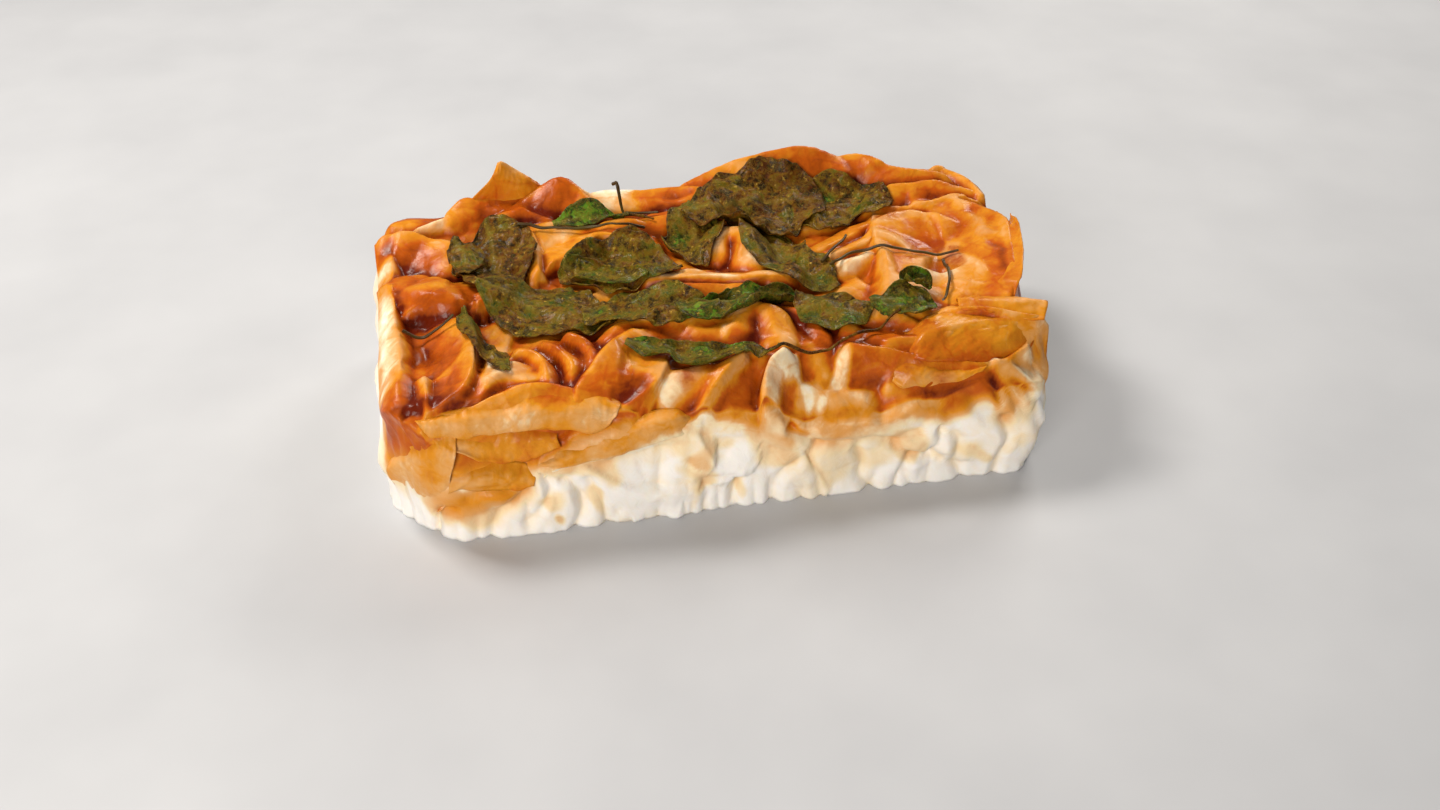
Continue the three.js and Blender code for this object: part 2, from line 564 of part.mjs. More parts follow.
// A grid along and across the midrib, laid on the relief: the upper face, the lower face and
// the rim between them.
function leafGeometry(leaf, relief) {
  const rib = curveThrough(leaf.rib);
  const along = Math.max(6, Math.round(rib.getLength() / LEAF_CELL));
  const across = Math.max(2, Math.round((Math.max(...leaf.left) + Math.max(...leaf.right)) / LEAF_CELL));
  const upper = [];
  const lower = [];
  for (let i = 0; i <= along; i += 1) {
    const t = i / along;
    const middle = rib.getPointAt(t);
    const ahead = rib.getTangentAt(t);
    for (let j = 0; j <= across; j += 1) {
      const side = 2 * j / across - 1;
      const away = side * widthAt(side > 0 ? leaf.left : leaf.right, t);
      const x = middle.x - ahead.y * away;
      const y = middle.y + ahead.x * away;
      const ripple = leaf.wave * (0.5 + 0.5 * Math.sin(x / 3.1 + 1.7 * Math.sin(y / 4.3)));
      const lift = leaf.curl * side ** 4 + ripple;
      const bottom = relief.highest(x, y, LEAF_CELL + 0.8) + REST_GAP + lift;
      lower.push(x, y, bottom);
      upper.push(x, y, bottom + LEAF_THICKNESS);
    }
  }

  const count = (along + 1) * (across + 1);
  const at = (i, j) => i * (across + 1) + j;
  const triangles = [];
  for (let i = 0; i < along; i += 1) {
    for (let j = 0; j < across; j += 1) {
      const [a, b, c, d] = [at(i, j), at(i + 1, j), at(i + 1, j + 1), at(i, j + 1)];
      triangles.push(a, b, c, a, c, d);
      triangles.push(count + a, count + c, count + b, count + a, count + d, count + c);
    }
  }
  const edge = [];
  for (let i = 0; i < along; i += 1) edge.push(at(i, 0));
  for (let j = 0; j < across; j += 1) edge.push(at(along, j));
  for (let i = along; i > 0; i -= 1) edge.push(at(i, across));
  for (let j = across; j > 0; j -= 1) edge.push(at(0, j));
  edge.forEach((from, k) => {
    const to = edge[(k + 1) % edge.length];
    triangles.push(from, count + from, count + to, from, count + to, to);
  });
  return geometryFrom([...upper, ...lower], triangles);
}

// ---- stems -----------------------------------------------------------------------------------

const STEM_SIDES = 6;
const STEM_STEP = 4;

// A thin round stem, resting on the relief except where a point gives its own height.
function stemGeometry(path, relief) {
  const flat = curveThrough(path);
  const steps = Math.max(3, Math.round(flat.getLength() / STEM_STEP));
  const points = flat.getSpacedPoints(steps).map((point) => {
    const rest = relief.highest(point.x, point.y, STEM_STEP) + REST_GAP + STEM_RADIUS;
    return new THREE.Vector3(point.x, point.y, Math.max(point.z, rest));
  });
  const round = new THREE.Shape();
  for (let k = 0; k < STEM_SIDES; k += 1) {
    const turn = 2 * Math.PI * k / STEM_SIDES;
    const [x, y] = [STEM_RADIUS * Math.cos(turn), STEM_RADIUS * Math.sin(turn)];
    if (k === 0) round.moveTo(x, y);
    else round.lineTo(x, y);
  }
  const extrudePath = new THREE.CatmullRomCurve3(points);
  const geometry = new THREE.ExtrudeGeometry(round, { steps, extrudePath, bevelEnabled: false });
  geometry.deleteAttribute('normal');
  geometry.deleteAttribute('uv');
  return mergeVertices(geometry, 1e-4);
}

// ---- joining ---------------------------------------------------------------------------------

function solid(geometry) {
  const vertProperties = new Float32Array(geometry.getAttribute('position').array);
  const triVerts = new Uint32Array(geometry.index.array);
  return new wasm.Manifold(new wasm.Mesh({ numProp: 3, vertProperties, triVerts }));
}

function join(first, second) {
  const mesh = solid(first).add(solid(second)).getMesh();
  return geometryFrom(mesh.vertProperties, [...mesh.triVerts]);
}

// A leaf with its stem in one piece: the stem starts inside the end of the blade.
function leafWithStem(leaf, relief) {
  const blade = leafGeometry(leaf, relief);
  if (!leaf.stem) return blade;
  const [x, y] = leaf.rib.at(-1);
  const [nextX, nextY] = leaf.stem[0];
  const root = relief.highest(x, y, LEAF_CELL + 0.8) + REST_GAP + LEAF_THICKNESS + STEM_RADIUS;
  const back = new THREE.Vector2(x - nextX, y - nextY).setLength(5);
  const path = [[x + back.x, y + back.y, root + 1], [x, y, root], ...leaf.stem];
  return join(blade, stemGeometry(path, relief));
}

// ---- the pie ---------------------------------------------------------------------------------

const pie = new THREE.Group();
const relief = new Relief();

function lay(name, geometry, material) {
  const mesh = new THREE.Mesh(geometry, material.clone());
  mesh.name = name;
  mesh.position.set(-CENTRE.x, -CENTRE.y, 0);
  relief.add(geometry);
  pie.add(mesh);
}

lay('crust', crustGeometry(), filo);
for (const leaf of LEAVES) lay(leaf.name, leafWithStem(leaf, relief), spinach);
for (const stem of STEMS) lay(stem.name, stemGeometry(stem.path, relief), stalk);

export default pie;
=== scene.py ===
"""A small oblong spanakopita: crumpled filo, pleated walls, baked spinach leaves and stems on top."""

import math
import random
from collections import namedtuple

import bmesh
import bpy
import numpy as np
from mathutils import Matrix, Vector


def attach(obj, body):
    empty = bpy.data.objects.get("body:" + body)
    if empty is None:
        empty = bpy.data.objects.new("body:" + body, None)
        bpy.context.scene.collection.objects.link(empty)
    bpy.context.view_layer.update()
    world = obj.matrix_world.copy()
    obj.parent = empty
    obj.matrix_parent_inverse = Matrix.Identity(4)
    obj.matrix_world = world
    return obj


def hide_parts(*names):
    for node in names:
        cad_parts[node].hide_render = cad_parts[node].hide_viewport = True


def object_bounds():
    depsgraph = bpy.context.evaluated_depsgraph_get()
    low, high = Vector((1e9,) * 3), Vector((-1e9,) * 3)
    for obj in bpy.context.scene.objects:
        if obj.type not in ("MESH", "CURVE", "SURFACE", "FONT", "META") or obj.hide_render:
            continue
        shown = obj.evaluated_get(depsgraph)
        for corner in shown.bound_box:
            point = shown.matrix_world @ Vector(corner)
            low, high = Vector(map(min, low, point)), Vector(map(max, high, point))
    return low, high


bl_info = {
    "name": "Spanakopita",
    "version": (1, 0, 0),
    "blender": (4, 5, 0),
    "location": "View3D > Sidebar > Pie",
    "description": "Bakes an oblong filo pie topped with spinach leaves",
    "category": "Add Mesh",
}

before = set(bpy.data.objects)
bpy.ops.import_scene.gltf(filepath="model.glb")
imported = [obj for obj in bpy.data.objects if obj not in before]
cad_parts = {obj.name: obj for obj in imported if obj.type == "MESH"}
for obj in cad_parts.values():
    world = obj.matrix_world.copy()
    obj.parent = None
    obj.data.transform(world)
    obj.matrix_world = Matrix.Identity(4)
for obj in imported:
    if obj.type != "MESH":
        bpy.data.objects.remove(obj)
CAD_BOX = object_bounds()

# ---- sizes -----------------------------------------------------------------------------------
# The pie is worked out in millimetres, on its own plan: +X to the right, +Y to the back, z = 0 on
# the table. CENTRE is the middle of the finished pie on that plan, where its own origin lies.

MM = 0.001
CENTRE = (2.11, -0.59)

LENGTH = 210.0
DEPTH = 118.0
CORNER_RADIUS = 15.0
FRONT_LEFT_RADIUS = 20.0
FRONT_RIGHT_RADIUS = 10.0
RIGHT_SKEW = 5.0
LEFT_INSET = 2.0
TOP_HEIGHT = 43.5
# The front rim, as points (x, z), and how wide the top rounds over to it on the left and the right.
FRONT_RIM = [(-104, 28), (-92, 23), (-80, 20), (-68, 20), (-60, 22), (-52, 26), (-45, 30), (-37, 33),
             (-25, 36), (-14, 36), (0, 37), (8, 36), (16, 33), (25, 29), (34, 28), (45, 29), (57, 32),
             (66, 32), (74, 30), (85, 29), (95, 30), (104, 29)]
LEFT_SHOULDER = 9.0
RIGHT_SHOULDER = 14.0
LEFT_END_DROP = 10.0            # how far the top rounds over at the two ends
RIGHT_END_DROP = 8.0
END_SHOULDER = 8.0
BACK_RISE = 4.0
WALL_BULGE = 1.6
FOOT_FLARE = 1.7
FRONT_LEFT_CUT = 4.5            # how much its foot cuts across that corner
RIGHT_CUT = 3.5                 # how much the foot of the right end is drawn in at the front
WALL_HEIGHT = 40.0
HALF_LENGTH = LENGTH / 2 - WALL_BULGE
HALF_DEPTH = DEPTH / 2 - WALL_BULGE
ROUND_TRIP = 2 * (LENGTH + DEPTH)

TOP_CELL = 0.72                 # size of the crust's mesh cells, on the top and down the walls
WALL_CELL = 1.0

# ---- folds -----------------------------------------------------------------------------------
# A fold's crest runs through points (x, y, z). Seen along it, the sheet falls away over `left` mm
# on its left and `right` mm on its right. Round 0 is two flat facets, round 1 a swollen roll. The
# last three numbers are how baked it is on its left, on its crest and on its right: 0 pale, 1 burnt.

FOLDS = [
    # back left corner
    ([(-98, 38, 53), (-89, 38, 53), (-84, 35, 52), (-77, 31, 52)], 4, 15, 0.2, (0.34, 0.46, 0.68)),
    ([(-87, 45, 51), (-81, 46, 52), (-75, 48, 52), (-71, 48, 51)], 3, 3, 0.5, (0.32, 0.28, 0.36)),
    ([(-75, 50, 53), (-70, 53, 56), (-63, 53, 54), (-55, 50, 53)], 4, 7, 0.7, (0.4, 0.5, 0.6)),
    ([(-59, 43, 53), (-54, 45, 54), (-51, 45, 54), (-45, 41, 52)], 5, 4, 0.7, (0.7, 0.55, 0.7)),
    ([(-52, 50, 54), (-44, 53, 58), (-37, 54, 60), (-31, 50, 56)], 4, 11, 0.5, (0.4, 0.44, 0.6)),
    ([(-69, 52, 54), (-62, 55, 57), (-54, 55, 58), (-46, 53, 54)], 4, 8, 0.2, (0.4, 0.4, 0.44)),
    # left end
    ([(-92, 6, 51), (-86, 1, 54), (-79, -2, 54), (-73, -1, 51)], 17, 7, 0.8, (0.5, 0.6, 0.66)),
    ([(-97, 36, 50), (-97, 12, 49), (-96, -13, 49), (-95, -38, 48)], 5, 7, 0.25, (0.54, 0.40, 0.02)),
    ([(-95, -38, 48), (-95, -46, 46), (-96, -54, 42)], 5, 6, 0.25, (0.5, 0.42, 0.5)),
    ([(-74, -15, 51), (-73, -31, 52), (-75, -45, 51), (-85, -52, 46)], 2, 13, 0.1, (0.6, 0.48, 0.55)),
    ([(-87, -40, 49), (-87, -50, 47), (-90, -57, 40)], 3, 4, 0.2, (0.4, 0.34, 0.42)),
    # front left: shell folds, strips and ribbons
    ([(-59, -31, 49), (-55, -34, 50), (-52, -41, 50), (-52, -50, 47)], 4, 3, 0.5, (0.62, 0.42, 0.5)),
    ([(-51, -29, 49), (-47, -34, 50), (-44, -41, 49), (-45, -49, 46)], 4, 3, 0.5, (0.66, 0.42, 0.56)),
    ([(-43, -27, 49), (-40, -31, 49), (-38, -38, 49), (-40, -46, 47)], 4, 3, 0.5, (0.7, 0.46, 0.6)),
    ([(-73, -49, 47), (-69, -44, 49), (-63, -42, 49), (-57, -45, 48)], 7, 4, 0.8, (0.34, 0.24, 0.4)),
    ([(-88, -50, 45), (-79, -48, 46), (-71, -44, 48), (-67, -36, 49)], 4, 4, 0.1, (0.2, 0.14, 0.3)),
    ([(-84, -46, 46), (-77, -43, 47), (-71, -38, 48)], 4, 4, 0.1, (0.3, 0.2, 0.34)),
    ([(-92, -52, 43), (-76, -53, 45), (-58, -50, 48), (-43, -52, 46), (-31, -56, 42)], 5, 9, 0.4,
     (0.5, 0.42, 0.58)),
    ([(-43, -52, 47), (-38, -46, 49), (-31, -37, 50), (-23, -30, 50)], 7, 14, 0.1, (0.56, 0.36, 0.62)),
    ([(-32, -57, 42), (-26, -54, 44), (-20, -50, 46), (-17, -44, 48)], 13, 2.6, 0.1, (0.5, 0.74, 0.3)),
    # middle, behind and between the leaves
    ([(-53, 44, 50), (-50, 30, 51), (-50, 12, 50)], 4, 6, 0.3, (0.3, 0.4, 0.56)),
    ([(-50, 38, 50), (-46, 39, 51), (-38, 38, 51)], 3, 15, 0.3, (0.4, 0.26, 0.32)),
    ([(-41, 18, 50), (-32, 26, 51), (-25, 28, 51), (-15, 23, 50)], 9, 3, 0.6, (0.5, 0.36, 0.62)),
    ([(-24, 33, 51), (-8, 36, 51), (4, 36, 51)], 6, 6, 0.6, (0.44, 0.4, 0.6)),
    ([(11, 17, 49), (16, 22, 52), (20, 15, 52), (20, 6, 50)], 7, 7, 0.7, (0.3, 0.3, 0.5)),
    ([(-14, 3, 48), (-2, 1, 49), (8, -1, 49), (22, -3, 49), (29, -4, 48)], 6, 4, 0.8, (0.3, 0.16, 0.66)),
    ([(-14, -4, 48), (2, -6, 48), (16, -8, 48)], 3, 5, 0.6, (0.74, 0.6, 0.6)),
    ([(-28, -25, 49), (-15, -23, 49), (0, -26, 48), (8, -30, 47)], 6, 8, 0.5, (0.42, 0.4, 0.66)),
    ([(8, -30, 49), (14, -24, 51), (18, -27, 51), (19, -37, 48)], 7, 6, 0.7, (0.3, 0.36, 0.6)),
    ([(22, -23, 49), (30, -27, 49), (33, -36, 47)], 5, 4, 0.4, (0.5, 0.42, 0.7)),
    ([(33, -25, 49), (40, -31, 49), (42, -38, 47)], 5, 4, 0.4, (0.5, 0.42, 0.7)),
    ([(46, -28, 49), (55, -31, 49), (62, -37, 48)], 5, 5, 0.4, (0.44, 0.4, 0.5)),
    # back rim
    ([(-32, 54, 51), (-20, 54, 53), (-10, 54, 52)], 5, 10, 0.6, (0.12, 0.12, 0.3)),
    ([(5, 52, 53), (21, 55, 59), (39, 55, 62), (50, 55, 63), (60, 53, 59)], 5, 9, 0.5, (0.4, 0.46, 0.6)),
    ([(-14, 53, 52), (2, 50, 54), (14, 46, 54), (24, 44, 53)], 6, 8, 0.5, (0.4, 0.42, 0.5)),
    ([(57, 53, 58), (68, 53, 59), (76, 46, 57), (84, 42, 56), (96, 40, 55)], 5, 7, 0.4, (0.4, 0.44, 0.56)),
    ([(76, 36, 53), (85, 36, 54), (94, 34, 54), (103, 31, 53)], 5, 7, 0.3, (0.5, 0.44, 0.5)),
    ([(68, 29, 50), (85, 25, 52), (95, 27, 53), (104, 25, 52)], 4, 7, 0.1, (0.5, 0.42, 0.5)),
    ([(99, 50, 52), (104, 40, 53), (106, 28, 53)], 5, 5, 0.5, (0.3, 0.4, 0.4)),
    # right end
    ([(66, 17, 51), (73, 20, 52), (81, 20, 52), (91, 12, 51)], 8, 17, 0.2, (0.54, 0.42, 0.52)),
    ([(66, 20, 50), (64, 8, 51), (63, -5, 51), (60, -20, 50)], 25, 6, 0.1, (0.34, 0.3, 0.42)),
    ([(41, 9, 48), (51, 14, 49), (61, 20, 49), (67, 23, 49)], 6, 4, 0.6, (0.5, 0.42, 0.56)),
    ([(42, 3, 48), (51, 7, 49), (60, 11, 49), (65, 14, 49)], 6, 4, 0.6, (0.5, 0.4, 0.56)),
    ([(45, -3, 48), (53, -1, 49), (60, 2, 49)], 5, 4, 0.6, (0.5, 0.3, 0.5)),
    ([(98, 22, 53), (104, 13, 55), (106, 4, 56), (103, -9, 56), (98, -25, 55), (92, -35, 51)], 4, 27, 0.1,
     (0.44, 0.5, 0.2)),
    ([(80, -20, 49), (86, -25, 51), (92, -27, 52)], 4, 4, 0.4, (0.5, 0.44, 0.5)),
    ([(76, -37, 51), (84, -39, 52), (92, -42, 51), (100, -44, 50)], 10, 2.8, 0.2, (0.34, 0.44, 0.6)),
    ([(52, -44, 47), (68, -45, 48), (81, -45, 48), (98, -43, 48)], 8, 6, 0.2, (0.5, 0.46, 0.56)),
    ([(62, -50, 44), (72, -52, 42), (84, -53, 41), (95, -49, 43)], 6, 2.8, 0.2, (0.66, 0.5, 0.3)),
    # front rim
    ([(40, -45, 46), (50, -47, 45), (60, -50, 44), (70, -52, 42), (79, -54, 41)], 5, 6, 0.4,
     (0.6, 0.5, 0.62)),
    ([(50, -53, 36), (60, -54, 37), (70, -55, 38), (79, -55, 40)], 5, 2.8, 0.2, (0.44, 0.42, 0.3)),
    ([(23, -51, 37.4), (31, -53, 36.2), (42, -54, 34)], 6, 6, 0.2, (0.42, 0.3, 0.3)),
    ([(-87, -54, 39), (-78, -54, 37), (-63, -54, 37), (-51, -54, 37), (-40, -55, 35), (-32, -55, 38)],
     4, 2, 0.2, (0.46, 0.4, 0.56)),
    ([(-79, -56, 28), (-70, -56, 29), (-62, -56, 30), (-50, -56, 33), (-38, -56, 36)], 4, 2, 0.3,
     (0.42, 0.4, 0.5)),
    ([(-80, -52, 41), (-82, -55, 35), (-84, -57, 27)], 5, 9, 0.1, (0.42, 0.38, 0.42)),
    ([(-18, -50, 44.5), (-9, -48, 45.5), (-1, -47, 45.5)], 5, 7, 0.4, (0.5, 0.08, 0.14)),
    ([(-10, -58, 38), (-5, -55, 44), (1, -50, 48), (7, -46, 49)], 6, 2.5, 0.2, (0.5, 0.3, 0.16)),
    ([(11, -59, 39), (12, -55, 44), (15, -50, 48), (20, -46, 49)], 2.5, 5, 0.2, (0.56, 0.24, 0.26)),
    ([(79, -53, 41), (85, -55, 38), (90, -58, 33)], 4, 3, 0.5, (0.36, 0.2, 0.2)),
    ([(84, -53, 42), (90, -54, 39), (95, -57, 34)], 6, 4, 0.6, (0.1, 0.16, 0.4)),
]

# Folds on the front wall: x along it, z up it and how far they stand out; left is up.
WALL_CRESTS = [
    ([(-51, 27, 1.6), (-56, 19, 2.6), (-60, 8, 2.8), (-61, 1, 2)], 6, 3, 0.7, (0.02, 0, 0.02)),
    ([(-49, 26, 1.6), (-51, 16, 2.8), (-52, 8, 3), (-52, 0, 2)], 5, 4, 0.7, (0, 0, 0.02)),
    ([(-46, 25, 1.6), (-42, 17, 3), (-41, 8, 3), (-42, 0, 2)], 5, 3.4, 0.7, (0.02, 0, 0.04)),
    ([(-43, 24, 1.6), (-35, 14, 3), (-32, 4, 2.8)], 6, 3, 0.7, (0, 0, 0.04)),
    ([(-50, 27, 2), (-45, 25, 3.4), (-38, 19, 3.8), (-28, 12, 3.6), (-16, 10, 3.4)], 1.6, 10, 0.3,
     (0.06, 0, 0)),
    ([(-13, 34, 1.6), (-9, 27, 3.2), (-6, 21, 3.6), (-8, 15, 3)], 2, 8, 0.5, (0.1, 0.05, 0.1)),
    ([(-11, 14, 2.4), (-2, 12, 3.6), (4, 14, 3.4), (7, 19, 2)], 8, 2, 0.5, (0, 0, 0.12)),
    ([(14, 31, 2), (18, 26, 3.2), (25, 23, 3.6), (31, 26, 3.6), (40, 28, 3.4), (51, 28, 3)], 9, 1.6, 0.5,
     (0.2, 0.12, 0.06)),
    ([(20, 23, 2), (23, 17, 3.2), (26, 11, 3.6), (30, 2, 3)], 2, 7, 0.5, (0.12, 0.03, 0.05)),
    ([(62, 32, 2), (63, 24, 3.2), (66, 15, 3.6), (74, 9, 2.6)], 9, 3, 0.8, (0.04, 0, 0.1)),
    ([(72, 21, 2.4), (80, 21, 3.6), (86, 12, 3.6), (86, 3, 2.4)], 9, 3, 0.8, (0, 0, 0.1)),
    ([(76, 40, 2), (82, 35, 3.4), (86, 29, 3.8), (89.5, 22, 3.6), (92, 14, 2.6)], 3, 7, 0.4,
     (0.32, 0.16, 0.05)),
    ([(80, 40, 2), (85, 37, 3), (90, 32, 3.6), (94, 26, 3)], 2.5, 4, 0.4, (0.34, 0.2, 0.24)),
    ([(-84, 26, 2.4), (-86, 21, 3), (-89, 15, 1.4)], 8, 10, 0.1, (0.3, 0.3, 0.16)),
    ([(-80, 15, 1), (-74, 17, 3), (-68, 17, 3), (-62, 19, 2)], 3, 6, 0.5, (0.4, 0.34, 0.1)),
    ([(-62, 22, 2), (-52, 27, 3.4), (-38, 33, 4), (-25, 36, 4), (-15, 36, 3)], 4, 9, 0.7,
     (0.4, 0.26, 0.03)),
    ([(-3, 37, 2), (3, 37, 3), (12, 34, 3), (20, 30, 4), (27, 27, 4), (34, 26, 4), (45, 28, 4), (57, 32, 4),
      (66, 32, 3), (74, 27, 2)], 4, 10, 0.7, (0.36, 0.26, 0.02)),
    ([(-46, 27, 2), (-41, 20, 3.6), (-34, 13, 3.8), (-26, 10, 3.6), (-15, 8, 3)], 4, 8, 0.4, (0, 0, 0)),
    ([(-15, 10, 2.6), (-17, 1, 3.4)], 3, 3, 0.4, (0, 0, 0)),
    ([(66, 32, 2), (73, 27, 3.4), (80, 20, 3.8), (85, 10, 3.4)], 5, 9, 0.6, (0.06, 0.03, 0)),
    ([(80, 30, 2), (90, 24, 3.4), (95, 17, 3.6), (98, 8, 3)], 4, 6, 0.6, (0.1, 0.06, 0.02)),
]
# Sharp notches in the front wall, through points (x, z).
WALL_NOTCHES = [
    [(-93, 2), (-90, 10), (-85, 12)], [(-75, 0), (-72, 8), (-68, 12), (-62, 18)],
    [(-63, 4), (-58, 12), (-56, 17), (-57, 21)], [(-49, 0), (-46, 8), (-48, 15), (-51, 20)],
    [(-39, 0), (-41, 11), (-44, 19)], [(-9, 13), (-2, 13), (2, 12), (1, 2)],
    [(14, 0), (15, 8), (18, 13), (22, 17)], [(29, 0), (27, 8), (25, 16), (27, 21)],
    [(45, 0), (42, 5), (42, 11), (40, 18)], [(58, 0), (56, 7), (58, 12), (67, 10)],
    [(75, 0), (72, 9), (72, 17), (66, 21)], [(86, 0), (86, 8), (88, 15), (86, 23)],
    [(19, 28), (24, 25), (28, 22), (37, 21), (47, 20), (52, 17)], [(53, 16), (62, 10), (65, 15), (66, 21)],
    [(19, 40), (19, 29)],
]

# Tan marks on the front wall, partly damp stains and partly painted shade in its recessed pleats: (x, z,
# radius, strength).
WALL_STAINS_AND_SHADE = [
    (34, 15, 9, 0.096), (46, 12, 7, 0.11), (55, 17, 4, 0.16), (15, 19, 5, 0.12), (11, 25, 5, 0.12),
    (-7, 25, 4, 0.14), (-8, 16, 4, 0.12), (-9, 9, 3, 0.12), (5, 10, 3, 0.11), (-39, 24, 6, 0.12),
    (-20, 24, 7, 0.048), (78, 11, 4, 0.11), (85, 25, 4, 0.12), (91, 13, 3, 0.072), (-56, 12, 3, 0.12),
    (-50, 7, 2, 0.18), (-41, 10, 2.5, 0.12), (-76, 14, 8, 0.16),
]

CRINKLES = 170                  # smaller folds strewn over the top
CRINKLE_SEED = 5
CRINKLE_SPACING = 7.0
CRINKLE_MARGIN = 4.0            # how far they keep from the edge of the top
WALL_FOLDS = 34                 # slanting creases in the walls
WALL_SEED = 11
FLUTES = 48                     # pleats along the foot of the walls, and the narrower ones among them
NARROW_FLUTES = 89
FLUTE_DEPTH = 2.1
NARROW_FLUTE_DEPTH = 0.9
FLUTE_SINK = 0.9                # how far the notches between the pleats sink in
FLUTE_RISE = 40                 # height over which the pleats slant their full way
PLEAT_DEPTH = 2.4               # the usual pleat depth, which the setting is measured against
NOTCH_WIDTH = 3.2
NOTCH_DEPTH = 2.2
FOLD_STEP = 3.0                 # length of a main fold's straight stretches
FOLD_LEAN = 1.6                 # how far its crest hangs over the steeper side
WALL_CREST_LEAN = 0.8           # the same for a fold on the front wall, and for a crease in the walls
WALL_FOLD_LEAN = 0.5

# How widely a point's surroundings are blurred to tell whether it lies in a hollow, in mesh cells.
TOP_BLUR = 26
WALL_BLUR = 18
SHEET_BLUR = 12

SPOT_WANDER = 3.0               # how far a spot's outline wanders, and over what length
SPOT_WAVE = 16
# Pale, hardly baked patches, of which the one at (99, -50) is also a painted highlight, and pools of dark
# caramelised juice: (x, y, radius, strength).
PALE_SPOTS = [
    (-45, 27, 5, 0.6), (-6, 12, 4, 0.6), (-20, -47, 6, 0.9), (22, 6, 4, 0.4), (52, -3, 4, 0.5),
    (73, -18, 7, 0.4), (-66, -23, 4, 0.5), (99, -50, 7, 0.9), (25, -51, 3.2, 1.2), (34, -52, 3.2, 1.2),
    (70, 33, 3, 0.6), (-100, -10, 5, 0.6), (-100, 25, 5, 0.6), (-72, -36, 3, 0.6), (-22, 55, 8, 0.9),
]
CARAMEL_SPOTS = [
    (79, 4, 7, 1.1), (85, -6, 4, 1.0), (72, 22, 5, 0.9), (82, 14, 4, 0.8), (-54, 48, 6, 0.9),
    (-14, 28, 6, 0.8), (2, -6, 5, 0.8), (-46, -33, 7, 1.0), (-30, -44, 6, 0.8), (-8, -47, 6, 0.9),
    (10, -50, 5, 0.7), (45, -41, 9, 0.7), (62, -47, 10, 0.9), (-80, -2, 5, 0.7), (-87, -26, 5, 0.4),
    (24, -22, 5, 0.8), (40, 12, 9, 0.5), (-88, 32, 6, 0.4), (-59, -38, 5, 0.6), (96, 10, 8, 0.6),
    (82, 50, 8, 0.5), (-33, 52, 4, 0.8),
]

# ---- loose sheets ------------------------------------------------------------------------------
# Each thin sheet of filo is stretched over rails, from its back or upper edge to its front or lower
# one, with points (x, y, z) along them. Its first numbers are how baked it is at each rail, from 0,
# pale, to 1, burnt. Its edges are folded under, apart from those that are named as free.

